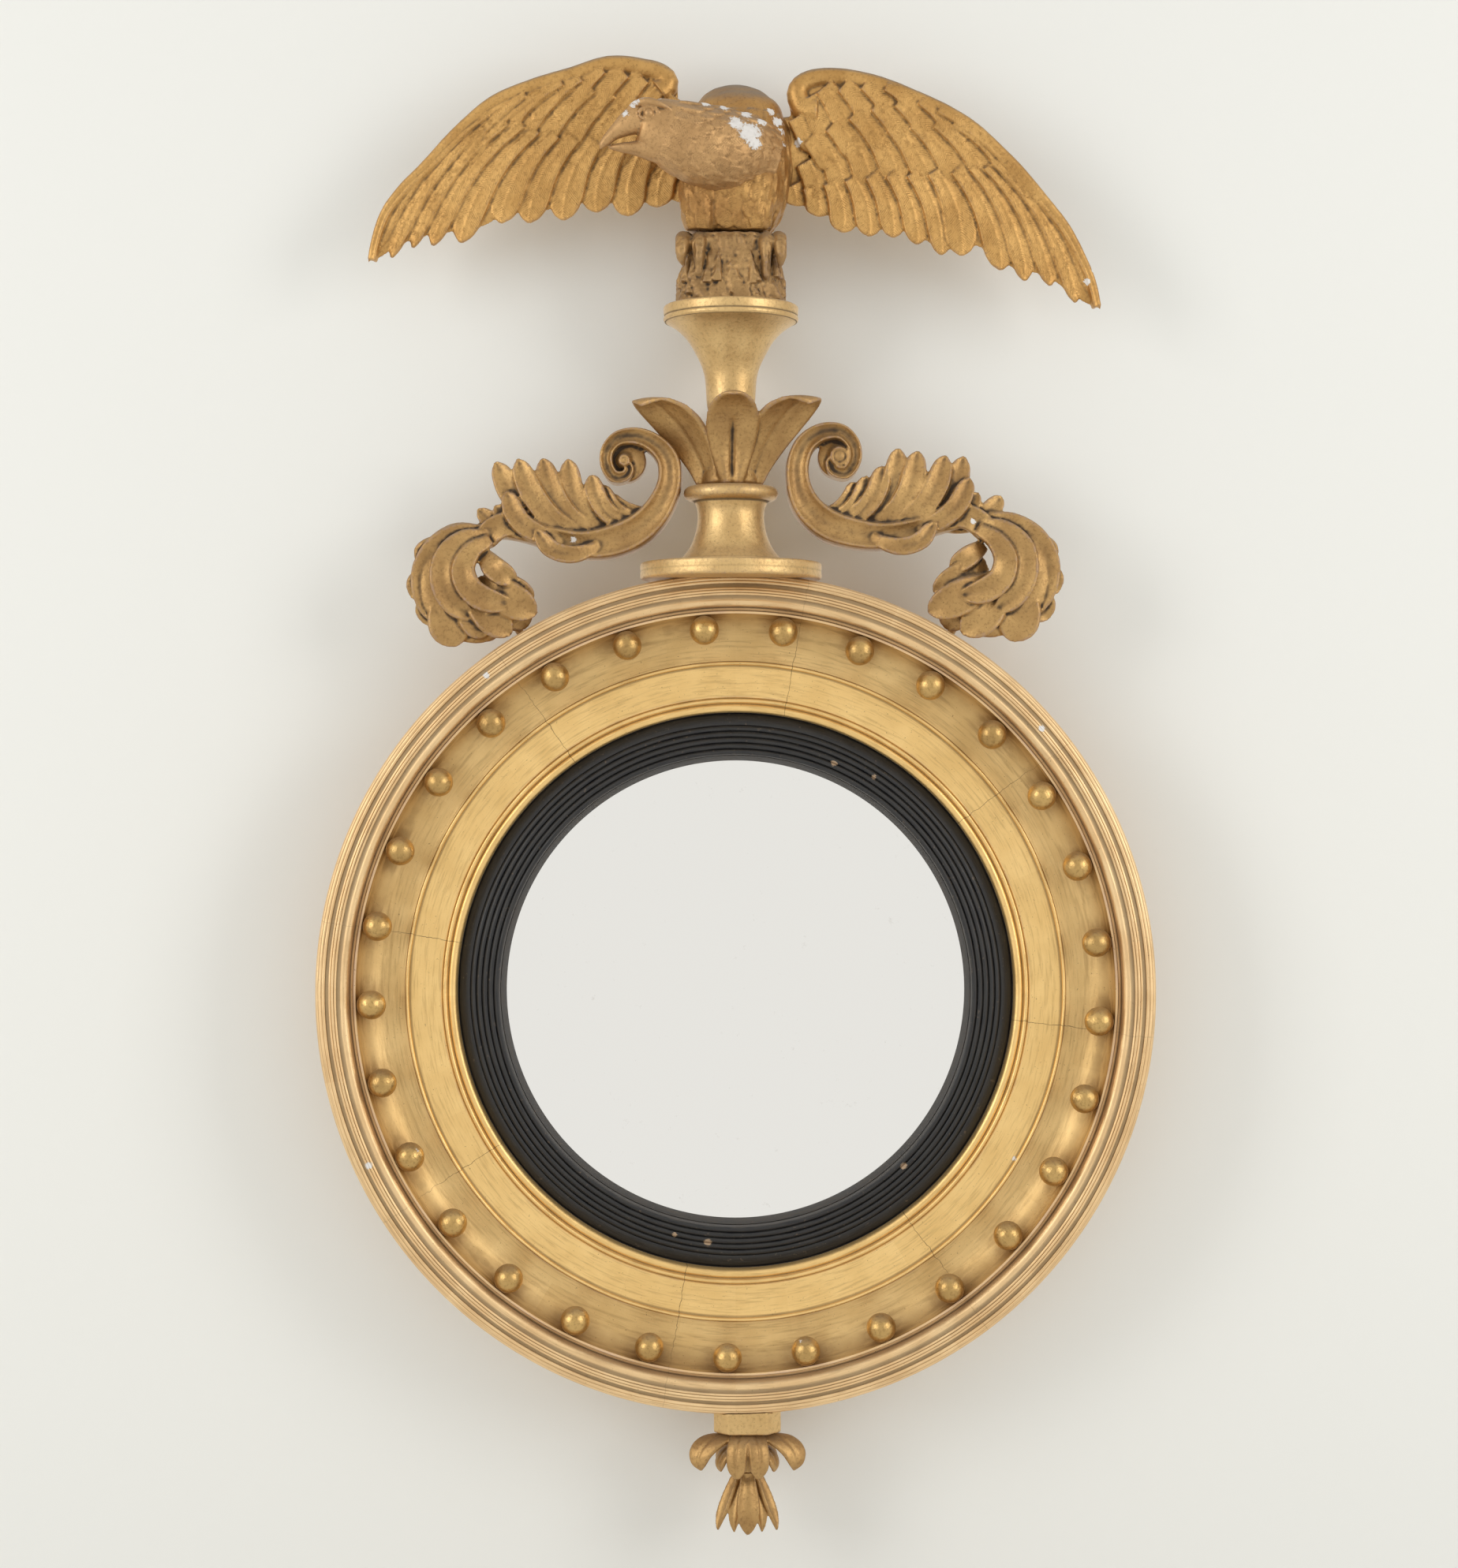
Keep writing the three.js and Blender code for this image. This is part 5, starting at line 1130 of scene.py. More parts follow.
# Outline of each wing as [x, z], and its rows of feathers: depth, thickness, bow and, from the tip
# inwards, the root and tip of each.
WINGS = {
    "wing_left": {
        "leading": [(-49, 668), (-44.5, 674), (-43.5, 684), (-51.6, 692.9), (-69.4, 698.2), (-93, 700.2),
            (-124.4, 691.2), (-154, 682.3), (-184.1, 669.3), (-203, 654), (-218.4, 639), (-234.4, 621.4),
            (-252.1, 603.7), (-264.5, 587), (-272, 567), (-275.5, 549)],
        "trailing": [(-30, 594), (-42.8, 595), (-63.5, 592), (-91.9, 589), (-116.7, 589), (-140.4, 584),
            (-163.4, 584), (-193, 571), (-218.4, 568), (-242.1, 563), (-258, 556), (-266, 551),
            (-275.5, 548)],
        "rows": [
            (62, 5.2, 0.09, [(-186, 658, -274, 549), (-180, 654, -258, 550.5), (-172, 651, -242, 558),
             (-160, 650, -227, 559.5), (-150, 646, -206, 561.5), (-136, 643, -176, 576),
             (-122, 640, -155, 576), (-106, 637, -129, 578), (-90, 632, -104, 584), (-72, 626, -79, 581.5),
             (-50, 620, -58, 588), (-34, 618, -40, 592)]),
            (64.2, 4.4, 0.07, [(-158, 672, -214, 608), (-147, 674, -199, 620), (-135, 676, -183, 628),
             (-122, 678, -166, 630), (-108, 676, -149, 629), (-94, 673, -130, 627), (-80, 669, -111, 623),
             (-66, 664, -92, 617), (-52, 656, -73, 609), (-38, 648, -54, 606)]),
            (66.4, 3.8, 0.05, [(-130, 680, -168, 652), (-116, 683, -151, 653), (-100, 690, -133, 652),
             (-84, 688, -115, 650), (-70, 684, -97, 645), (-58, 678, -80, 639), (-47, 670, -62, 633)]),
        ],
    },
    "wing_right": {
        "leading": [(58, 650), (47, 654), (40.5, 664), (39, 676), (44.5, 684.5), (55.4, 689.5),
            (71.4, 691.2), (90.9, 689), (113.9, 682.8), (135.8, 673.9), (161.2, 662.1), (180.8, 649.7),
            (196.7, 635.5), (214.5, 617.8), (234, 594.7), (249.4, 575.2), (261.2, 553.3), (270, 532),
            (273.8, 514)],
        "trailing": [(32, 592), (40, 590), (58, 588), (79, 573), (108.6, 571), (131, 567), (153, 556),
            (181, 557), (205, 542), (236, 534), (252, 522), (266, 515), (273.8, 512.5)],
        "rows": [
            (62, 5.2, 0.09, [(200, 626, 272.5, 515), (194, 622, 255, 517), (188, 618, 236, 529.5),
             (178, 618, 217, 533), (166, 616, 199, 541), (150, 615, 169, 551.5), (134, 614, 154, 552),
             (118, 613, 136, 560), (103, 612, 118, 565), (88, 610, 100, 566), (73, 607, 80, 569),
             (57, 604, 62, 581), (42, 604, 45, 589)]),
            (64.2, 4.4, 0.07, [(176, 645, 227, 585), (164, 650, 211, 600), (150, 650, 190, 606),
             (134, 650, 168, 607), (118, 648, 145, 607), (102, 644, 122, 607), (86, 638, 101, 605),
             (70, 630, 81, 598), (54, 622, 63, 594)]),
            (66.4, 3.8, 0.05, [(152, 660, 189, 634), (138, 666, 171, 635), (122, 666, 151, 634),
             (106, 664, 132, 631), (90, 658, 113, 631), (74, 650, 94, 624), (58, 640, 75, 616)]),
            (68.2, 3.2, 0.04, [(112, 676, 138, 659), (96, 678, 119, 657), (80, 677, 101, 654),
             (66, 676, 84, 648), (54, 668, 68, 638), (46, 654, 57, 628)]),
        ],
    },
}
WING_BOW = 4


def wing_depth(x):
    return WING_BOW * math.sin(math.pi * min(abs(x) / 275, 1))


def wing_core(wing):
    """The board of wood that the feathers are carved from."""
    lead = spline([[x, 0, z] for x, z in wing["leading"]], 70)
    trail = spline([[x, 0, z] for x, z in wing["trailing"]], 70)
    angle = np.linspace(0, 2 * np.pi, 24, endpoint=False)
    rings = []
    for front, rear in zip(lead, trail):
        middle, half = (front + rear) / 2, (front - rear) / 2 * 0.97
        depth = AXIS_DEPTH + wing_depth(middle[0])
        rings.append([[middle[0] + half[0] * math.cos(a), -depth + 1.6 - 1.8 * math.sin(a),
                       middle[2] + half[2] * math.cos(a)] for a in angle])
    return shell(rings)


def wing_roll(wing, side):
    """The thick front edge, rounded at the shoulder and thin at the tip, and the web behind it."""
    edge = spline([[x, 0, z] for x, z in wing["leading"]], 36)
    along = unit(np.gradient(edge, axis=0))
    inwards = np.stack([along[:, 2], 0 * along[:, 0], -along[:, 0]], axis=1) * side
    rows = []
    for i, (place, inward) in enumerate(zip(edge, inwards)):
        size = 10.5 - 8.3 * (i / 35) ** 0.5
        centre = place + inward * size * 0.92
        rows.append([centre[0], -(AXIS_DEPTH + 1.5 + wing_depth(centre[0])), centre[2], size, size * 0.98])
    web = []
    for place, inward, (_, y, _, size, _) in zip(edge, inwards, rows):
        x, _, z = place + inward * size * 2.2
        web.append([x, y + 3, z, size * 0.9, 6])
    return limb(rows, 90, 20), limb(web, 90, 16)


def under_roll(points, wing):
    """Keeps feathers from standing out above the front edge."""
    edge = np.array(sorted(wing["leading"][5:]))
    limit = np.interp(points[:, 0], edge[:, 0], edge[:, 1]) - 4
    over = (np.abs(points[:, 0]) > 52) & (points[:, 2] > limit)
    points = points.copy()
    points[over, 2] = limit[over]
    return points


def add_wing(name, gilt):
    wing = WINGS[name]
    side = 1 if name == "wing_right" else -1
    shells = [wing_core(wing)]
    for row in wing["rows"]:
        shells += [(under_roll(points, wing), *rest) for points, *rest in feather_row(row, side)]
    shells += wing_roll(wing, side)
    inner = [[side * 12, -AXIS_DEPTH, 628, 16, 8], [side * 38, -AXIS_DEPTH, 632, 24, 7],
             [side * 52, -AXIS_DEPTH, 636, 22, 5]]
    shells.append(limb(inner, 20, 20))
    carving("carved_" + name, name, shells, 0.92, gilt, 0.12, (8, 0.6))


def plumage(rows, spans, around, wide, thick):
    """Rings of overlapping feathers on a limb, from the root to the tip of each along its line."""
    line = spline(rows, 80)
    side, out = directions(line[:, :3], (0, -1, 0))
    at = np.linspace(0, 1, 80)

    def on_skin(t, angle, lift):
        centre, across, forward = ([np.interp(t, at, column) for column in part.T]
                                   for part in (line, side, out))
        wide, deep = math.cos(angle) * (centre[3] + lift), math.sin(angle) * (centre[4] + lift)
        return np.array(centre[:3]) + np.array(across) * wide + np.array(forward) * deep

    feathers = []
    for ring, (root, tip) in enumerate(spans):
        for count in range(around):
            share = (count + 0.5 * (ring % 2)) / around
            angle = math.radians(360 * share)
            shaft = []
            for step, width, lift in ((0, 0.7, -0.4), (0.4, 1.0, 0.5), (0.75, 0.95, 0.9), (0.93, 0.6, 0.8),
                                      (1.0, 0.15, 0.3)):
                place = on_skin(root + (tip - root) * step, angle, lift)
                shaft.append([*place, wide * width, thick])
            middle = root + (tip - root) / 2
            normal = unit(on_skin(middle, angle, 5) - on_skin(middle, angle, 0))
            feathers.append(blade(shaft, overlapping, feather_back, 16, 11, face=normal, barbs=-0.8))
    return feathers


# Each limb: [x, y, z, half width, half depth] along its middle line.
TORSO = [[0, -54, 677, 7, 7], [0, -55, 674, 18, 15], [0, -57, 666, 29, 24], [1, -60, 650, 36, 32],
         [1, -61, 630, 39.5, 36], [0, -62, 610, 40, 36], [-3, -62, 592, 38, 34], [-6, -62, 577, 33, 29],
         [-7, -62, 567.2, 28, 25]]
NECK = [[26, -76, 621, 20, 16], [8, -85, 625, 26, 22], [-10, -93, 624.5, 29.5, 24],
        [-26, -100, 627, 28.5, 23], [-40, -106, 631, 26, 20.5], [-54, -110, 636.5, 22.5, 16.5],
        [-64, -112, 640, 18.5, 13.5], [-70, -113, 642, 12.5, 10], [-73, -113.5, 642, 7, 6.5]]
UPPER_BEAK = [[-58, -111, 644, 13, 12], [-69, -113, 643.5, 12.5, 10.5], [-77, -114, 640, 9.8, 8.8],
              [-84, -114.6, 635.6, 7, 7], [-90, -115, 631, 4.8, 5.2], [-95, -115.2, 626.2, 3.6, 3.6],
              [-98, -115.2, 622.6, 2.2, 2.2], [-98.8, -115.2, 620.4, 0.6, 0.6]]
LOWER_BEAK = [[-50, -107, 621.5, 12, 12], [-64, -110, 621.6, 8.4, 9], [-75, -111.6, 621.8, 5, 6.6],
              [-84, -112.6, 622, 3.4, 4.8], [-90, -113, 622, 2, 2.8], [-93.5, -113, 622, 0.5, 0.6]]
BROW = [[-80, -116, 648, 1.2, 1.4], [-73, -121.5, 651.8, 2.6, 2.8], [-64, -124.5, 653, 3, 3],
        [-55, -125, 650.8, 2.2, 2.4], [-47, -123.5, 647.5, 0.6, 0.8]]
THIGHS = ([[-20, -74, 622, 12, 12], [-25, -82, 604, 14.5, 14], [-26, -83, 588, 13.5, 13],
           [-26, -82, 574, 10.5, 10.5], [-26, -80, 567.4, 9, 9]],
          [[18, -72, 618, 13, 12], [17, -80, 602, 15, 14], [14, -82, 588, 14, 13], [14, -81, 575, 11, 11],
           [15, -79, 567.4, 9.5, 9]])
EYE_X, EYE_Z = -63.4, 644.3


def spans(first, last, count, overlap):
    """Shares of a limb that each ring of feathers covers, from the tip end so that roots are hidden."""
    step = (last - first) / count
    return [(first + step * i, first + step * (i + 1 + overlap)) for i in range(count)]


def tail_feathers():
    feathers = []
    for lean, low in ((-13, 540), (13, 540), (-7, 536), (7, 536), (0, 533.5)):
        rows = [[-3.5 + lean * 0.5, -42, 608, 8, 5], [-3.5 + lean * 0.8, -33, 590, 9, 5],
                [-3.5 + lean, -23.5, 567, 9.5, 4], [-3.5 + lean * 1.1, -19.5, 550, 9, 3],
                [-3.5 + lean * 1.15, -18, low + 3, 5, 2], [-3.5 + lean * 1.15, -18, low, 1, 1]]
        feathers.append(blade(rows, overlapping, feather_back, 34, 15, face=(0, 1, 0), barbs=-0.9))
    return feathers


def add_eagle_body(gilt):
    shells = [limb(TORSO, 90, 64), *(limb(thigh, 40, 36) for thigh in THIGHS)]
    shells += plumage(TORSO, spans(0.24, 0.9, 7, 1.0), 16, 9, 1.3)
    for thigh in THIGHS:
        shells += plumage(thigh, spans(0.15, 0.8, 4, 1.2), 9, 6, 1.2)
    shells += tail_feathers()

    def above_perch(points):
        points = points.copy()
        low = (points[:, 2] < EAGLE_Z) & (points[:, 1] < -26)
        points[low, 2] = EAGLE_Z
        return points

    carving("carved_eagle_body", "eagle_body", shells, 0.9, gilt, 0.2, (9, 0.8), above_perch)


def add_eagle_head(gilt):
    shells = [limb(rows, 60, 40) for rows in (NECK, UPPER_BEAK, LOWER_BEAK)] + [limb(BROW, 30, 14)]
    shells += plumage(NECK[::-1], spans(0.22, 0.92, 9, 1.2), 15, 5.6, 0.8)
    eye = [[EYE_X, -(122.6 + y), EYE_Z + 0.1, r, r]
           for y, r in ((-3, 3), (0, 4), (2.6, 3.7), (4.4, 2.5), (5.4, 0.4))]
    shells.append(limb(eye, 20, 24, face=(0, 0, 1)))
    for a0, a1, size in ((190, 350, 1.2), (5, 175, 1.5)):
        lid = [[EYE_X + 7.2 * math.cos(a), -124.5, EYE_Z - 0.1 + 4.4 * math.sin(a), size, size]
               for a in np.linspace(math.radians(a0), math.radians(a1), 9)]
        shells.append(limb(lid, 30, 10))
    carving("carved_eagle_head", "eagle_head", shells, 0.76, gilt, 0.12, (8, 0.6))


SQUARENESS = 2.8                 # of the rock's plan: 2 is round


def squared(angle):
    """Reach of a square with round corners, as a share of its half width."""
    return (np.abs(np.cos(angle)) ** SQUARENESS + np.abs(np.sin(angle)) ** SQUARENESS) ** (-1 / SQUARENESS)


def rock(angle, t):
    """Ragged upright ridges that stand out towards the foot."""
    return 1 + 0.03 * np.sin(9 * angle + 3 * np.sin(5 * t)) * (1.1 - t) + 0.02 * np.sin(17 * angle + 7 * t)


def add_perch(gilt):
    """A squared rock with ragged sides, gripped at its upper corners by the eagle's toes."""
    low, high = PERCH_Z, PERCH_TOP
    keys = [(0, 41.5, 37.5), (4, 40.5, 37), (12, 38.5, 35.5), (24, 36, 33.5), (33, 34.5, 32), (40, 33.5, 31),
            (46, 33.5, 30.5), (51, 31, 28)]
    rings, angle = [], np.linspace(0, 2 * np.pi, 220, endpoint=False)
    heights = spline([[0, 0, h, wide, deep] for h, wide, deep in keys], 60)
    for row in heights:
        _, _, height, wide, deep = row
        reach = squared(angle) * rock(angle, height / 51)
        across, out = np.cos(angle) * wide * reach, np.sin(angle) * deep * reach
        rings.append(np.stack([CREST_X + across, out - AXIS_DEPTH, low + height + 0 * angle], axis=1))
    shells = [shell(rings)]
    for x, lean, length in ((-38.5, -1, 8), (-27, 0, 17), (22.5, 0, 19), (32, 1, 9)):
        toe = [[x - lean * 4, -66, 558, 7, 5], [x, -83, 560, 6.6, 5.6], [x + lean, -91.5, 556, 6.2, 5.6],
               [x + lean * 1.5, -94, 549, 5.4, 4.6], [x + lean * 1.5, -93.5, 549 - length * 0.5, 4.4, 3.4],
               [x + lean, -92.5, 549 - length, 2.4, 2], [x, -91.5, 546 - length, 0.6, 0.6]]
        shells.append(limb(toe, 40, 16, face=(1, 0, 0)))
    for x in (-37.5, 30.8):
        knob = [[x, -50, 556, 5, 5], [x, -74, 557, 7, 7], [x, -88, 556.5, 7, 6.6], [x, -95, 556, 3, 3]]
        shells.append(limb(knob, 24, 18, face=(1, 0, 0)))
    draw = np.random.RandomState(5)
    for _ in range(60):
        turn = draw.uniform(0, 2 * np.pi)
        foot, size = draw.uniform(516, 532), draw.uniform(1.6, 3.2)
        rise = draw.uniform(10, 22)
        rows = []
        for share, wide in ((0, 1.2), (0.35, 1.0), (0.7, 0.7), (1, 0.15)):
            out = squared(turn) * (0.985 - 0.1 * share)
            rows.append([CREST_X + math.cos(turn) * 40 * out, -AXIS_DEPTH + math.sin(turn) * 36.5 * out,
                         foot + rise * share, size * wide, size * wide])
        shells.append(limb(rows, 14, 10, face=(math.cos(turn), math.sin(turn), 0)))

    def within(points):
        """Rough sides with upright furrows, kept between the trumpet and the eagle."""
        outwards = points - np.array([CREST_X, -AXIS_DEPTH, 0])
        outwards[:, 2] = 0
        furrow = ripple(points * [1, 1, 0.3], 6, 8) * 0.9 + ripple(points * [1, 1, 0.45], 3, 9) * 0.45
        points = points + unit(outwards) * np.minimum(furrow, 0.4)[:, None]
        return np.stack([np.clip(points[:, 0], -44.6, 37.6), np.clip(points[:, 1], -99.2, -24.8),
                         np.clip(points[:, 2], low, high)], axis=1)

    carving("carved_rock", "rock_perch", shells, 0.9, gilt, 0.4, (10, 0.75), within)


# ------------------------------------------------------------------ pendant


def on_pendant(shell_piece, turn=0.0):
    return moved(shell_piece, (PENDANT_X, -AXIS_DEPTH, 0), turn)


def add_pendant_block(gilt):
    """A block with canted corners, hollowed to sit under the frame."""
    side = [(25, 22), (25, -11), (24, -12.6), (15, -21.4), (13.6, -22)]
    plan = [(-x, y) for x, y in side] + side[::-1]
    rings = [[[x * size, y * size, PENDANT_Z + height] for x, y in plan]
             for height, size in ((0, 0.965), (0.7, 0.99), (1.6, 1), (24, 1))]
    shells = [on_pendant(shell(rings))]
    carving("canted_block", "pendant_block", shells, 0.8, gilt, 0.15, (6, 0.4), under_rim)


def under_rim(points):
    """Presses points that would lie in the frame down to its underside."""
    points = points.copy()
    depth = -points[:, 1]
    reach = np.sqrt(np.maximum((rim_at(depth) + TOUCH) ** 2 - points[:, 0] ** 2, 0))
    points[:, 2] = np.minimum(points[:, 2], -reach)
    return points


def hood(u, t):
    """Front of a curling leaf: full, with a groove down the middle and soft edges."""
    return 1 - 0.3 * u**2 - 0.25 * np.exp(-(u / 0.12) ** 2) - 0.5 * soft_edge(u, 0.85)


def pendant_leaf(top, rows, turn, twist=0, face=hood, sides=21, barbs=0.6):
    """A leaf from [reach, height, half width, thickness] rows, hanging from the pendant's axis."""
    rows = [[0, -reach, top + z, wide, thick] for reach, z, wide, thick in rows]
    across = (math.cos(math.radians(twist)), math.sin(math.radians(twist)), 0)
    leaf = blade(rows, lambda u, t: -cupped(u, t), lambda u, t: -face(u, t), 34, sides, across=across,
                 barbs=barbs)
    return on_pendant(leaf, turn)


def add_pendant_leaves(gilt):
    top = PENDANT_Z - TOUCH
    core = [(0.05, 0), (15, 0), (14, 8), (11, 18), (10.5, 30), (0.05, 30)]
    section = [[radius, top - drop] for radius, drop in core]
    shells = [on_pendant(lathe(section, 48, "z"))]
    curling = [[6, -6, 9, 4], [15, -4.6, 11.5, 4], [24, -5.6, 12.5, 3.8], [32, -10.5, 12, 3.4],
               [37, -18, 9, 3], [37.5, -24.5, 5, 2.4], [36, -28, 0.8, 1]]
    front = [[7, -5, 6, 4], [14, -4, 7.6, 4], [21, -9, 8.2, 4], [24, -18, 8, 3.6], [24, -26, 6.4, 3],
             [22.5, -31.5, 2.4, 2]]
    small = [[8, -12, 6, 3.4], [16, -14, 7.5, 3.2], [22, -19, 7, 3], [24, -25, 4.4, 2.4],
             [23.5, -28.5, 0.8, 1]]
    for rows, turns in ((curling, ((74, -44), (190, 0), (288, 44))), (front, ((-19, 0), (21, 0))),
                        (small, ((56, 0), (130, 0), (235, 0), (304, 0)))):
        shells += [pendant_leaf(top, rows, turn, twist) for turn, twist in turns]
    carving("pendant_leaves", "pendant_leaves", shells, 0.7, gilt, 0.12, (7, 0.6))


def petal(u, t):
    """Outer face of a petal: raised edges and a hollow middle."""
    edge = np.abs(u)
    return 0.15 + 1.15 * edge**2 - 0.9 * soft_edge(u, 0.86)


def add_pendant_bud(gilt):
    top = BUD_TOP
    core = [(0.05, 0), (10, 0), (9, 5), (9.5, 16), (8, 30), (4, 39), (0.05, 40)]
    section = [[radius, top - drop] for radius, drop in core]
    shells = [on_pendant(lathe(section, 48, "z"))]
    for turns, rows in (
        ((2, 180), [[7, -1, 4.5, 3.4], [12, -9, 6.4, 3.4], [15, -20, 8.4, 3.4], [16, -31, 8.2, 3.2],
                    [14, -40, 4.6, 2.6], [11.5, -45.6, 0.8, 1.2]]),
        ((64, 116, 244, 296), [[7, -2, 4, 3], [11, -10, 5.5, 3], [15.5, -20, 6.4, 3], [20, -30, 5.6, 2.6],
                               [23.2, -37.5, 3.2, 2.2], [24.6, -42.3, 0.7, 1]]),
        ((36, 328, 148, 212), [[7, -3, 3.4, 3], [11.5, -14, 5, 3], [16, -26, 5.6, 2.8], [18, -35, 3.8, 2.2],
                               [18.5, -42.5, 0.7, 1]]),
    ):
        shells += [pendant_leaf(top, rows, turn, 0, petal, 19, None) for turn in turns]
    carving("pendant_bud", "pendant_bud", shells, 0.6, gilt, 0.1, (5, 0.5))


# ------------------------------------------------------------------ back

BOARD_RADIUS, BOARD_THICKNESS = 232, 8
BOARD_JOINTS = (-232, -84, 71, 232)
NAIL_COUNT = 14


def board(low, high):
    """One board of the round back, from one joint to the next, with eased edges."""
    low, high = low + 0.4, high - 0.4
    edge = [(math.sqrt(max(BOARD_RADIUS**2 - z**2, 0)), z) for z in np.linspace(low, high, 60)]
    outline = np.array(edge + [(-x, z) for x, z in edge[::-1]], float)
    middle = outline.mean(axis=0)
    rings = []
    for depth, inset in ((0.0, 1.2), (1.2, 0.0), (BOARD_THICKNESS - 0.8, 0.0), (BOARD_THICKNESS, 0.8)):
        reach = np.linalg.norm(outline - middle, axis=1, keepdims=True)
        ring = middle + (outline - middle) * (1 - inset / np.maximum(reach, 20))
        rings.append([[x, -depth, z] for x, z in ring])
    return shell(rings)


def nail(index):
    """A hand-made nail with a faceted rose head, just proud of the board."""
    turn = 2 * math.pi * (index + 0.5) / NAIL_COUNT
    x, z = math.sin(turn) * (BOARD_RADIUS - 9), math.cos(turn) * (BOARD_RADIUS - 9)
    section = [[0.05, 0.02], [1.3, 0.3], [2.6, 1.0], [2.8, 1.7], [1.0, 2.0], [0.9, 12], [0.05, 13]]
    points, faces, marks = lathe(section, 7)
    return points + np.array([x, 0, z]), faces, marks


def add_back(pine, iron):
    boards = [board(low, high) for low, high in zip(BOARD_JOINTS, BOARD_JOINTS[1:])]
    piece("pine_backboard", boards, [pine], ["backboard"], "raw_wood", sharp=30, relief=(2, 0.6))
    piece("backboard_nails", [nail(i) for i in range(NAIL_COUNT)], [iron], [], "iron", sharp=30)


def finish_kept_nodes(finishes):
    """Pieces whose shape is right as it is get their finish."""
    for material, names in finishes:
        for name in names:
            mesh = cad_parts[name].data
            mesh.materials.clear()
            mesh.materials.append(material)


# ------------------------------------------------------------------ stage, light and camera

CAMERA = (-4.93, -2230, 155.9)
FOCAL_LENGTH = 66.39
WALL_GAP = 1.0
FLOOR_DROP = 470


def behind_or_unseen(tree):
    """1 for every ray but the camera's own on the front, so that the wall never blocks the light."""
    back = add(tree, "NewGeometry", {}, "Backfacing")
    front = add(tree, "Math", {0: 1.0, 1: back}, operation="SUBTRACT")
    seen = add(tree, "Math", {0: front, 1: add(tree, "LightPath", {}, "Is Camera Ray")}, **TIMES)
    return add(tree, "Math", {0: 1.0, 1: seen}, operation="SUBTRACT")


def reflected(tree):
    return add(tree, "LightPath", {}, "Is Glossy Ray")


def add_stage():
    wide, deep, high = 4000, 5000, 3600
    wall = [(-wide, WALL_GAP, -FLOOR_DROP), (wide, WALL_GAP, -FLOOR_DROP), (wide, WALL_GAP, high),
            (-wide, WALL_GAP, high)]
    floor = [(-wide, -deep, -FLOOR_DROP), (wide, -deep, -FLOOR_DROP), (wide, deep, -FLOOR_DROP),
             (-wide, deep, -FLOOR_DROP)]
    for name, corners, hidden_from in (("wall", wall, behind_or_unseen), ("floor", floor, reflected)):
        mesh = bpy.data.meshes.new(name)
        mesh.from_pydata([tuple(c * MM for c in corner) for corner in corners], [], [(0, 1, 2, 3)])
        mesh.materials.append(wall_paint(f"matt_{name}_paint", "#EFEFEB", hidden_from))
        obj = bpy.data.objects.new(name, mesh)
        bpy.context.scene.collection.objects.link(obj)


def add_lamp(name, place, size, power):
    """A soft box that looks at the middle of the mirror."""
    lamp = bpy.data.lights.new(name, "AREA")
    lamp.shape = "RECTANGLE"
    lamp.size, lamp.size_y = size
    lamp.energy = power
    obj = bpy.data.objects.new(name, lamp)
    obj.location = Vector(place)
    obj.rotation_euler = (Vector((0, 0, 0.2)) - obj.location).to_track_quat("-Z", "Y").to_euler()
    bpy.context.scene.collection.objects.link(obj)


def add_light():
    """Two tall soft boxes, left and right, and a pale room."""
    add_lamp("left_soft_box", (-2.3, -1.9, 0.9), (1.0, 1.8), 22)
    add_lamp("right_soft_box", (2.3, -1.9, 0.9), (1.0, 1.8), 22)
    world = bpy.data.worlds.new("pale_room")
    world.use_nodes = True
    tree = world.node_tree
    path = add(tree, "LightPath", {}, "Is Camera Ray").node.outputs
    seen = add(tree, "Math", {0: path["Is Camera Ray"], 1: path["Is Glossy Ray"]}, operation="MAXIMUM")
    seen = add(tree, "Math", {0: seen, 1: path["Is Transmission Ray"]}, operation="MAXIMUM")
    background = tree.nodes["Background"]
    background.inputs["Color"].default_value = linear("#EBEAE7")
    tree.links.new(add(tree, "Mix", {0: seen, 2: 0.82, 3: 1.0}), background.inputs["Strength"])
    bpy.context.scene.world = world


def add_camera():
    lens = bpy.data.cameras.new("camera")
    lens.lens = FOCAL_LENGTH
    lens.clip_end = 30
    camera = bpy.data.objects.new("camera", lens)
    camera.location = Vector(CAMERA) * MM
    camera.rotation_euler = (math.radians(90), 0, 0)
    bpy.context.scene.collection.objects.link(camera)
    bpy.context.scene.camera = camera


# ------------------------------------------------------------------ the whole object


def on_ring(degrees, radius, depth, size):
    """A place on the round frame, clockwise from the top, with a radius of its own."""
    turn = math.radians(degrees)
    return (radius * math.sin(turn), -depth, radius * math.cos(turn), size)


BARB_SPACING = 1.9               # coarser than real barbs, so that they show in the render
SEGMENT_SPLITS = (10, 53, 96, 143, 190, 237, 280, 325)
# Places where the gold is chipped or gone, each with its radius.
RIM_LOSSES = [on_ring(49, 300, 88, 2.4), on_ring(322, 300, 88, 2.2), on_ring(245, 300, 88, 2.8),
              on_ring(121, 244, 58, 2.0)]
BALL_LOSSES = [(47.7, -90, -257, 2.2), (-235, -90, -115, 2.2)]
SLIP_CHIPS = [(74.2, -48, 171.4, 2.2), (104.6, -48, 161.3, 1.8), (-46, -48, -184, 1.8), (-21, -48, -190, 3.0),
              (126.6, -48, -132.2, 2.4)]
HEAD_LOSSES = [(10, -108, 634, 8), (14, -106, 626, 5), (0, -110, 640, 5), (20, -100, 645, 4),
               (8, -104, 650, 4), (-8, -106, 654, 4), (-22, -108, 655, 3.4), (-74, -116, 653, 4),
               (-68, -116, 657, 3.4), (-80, -115, 645, 3), (-56, -112, 660, 3)]
BODY_LOSSES = [(31, -80, 648, 4), (33, -76, 640, 3.4), (34, -75, 632, 3), (26, -80, 655, 3)]
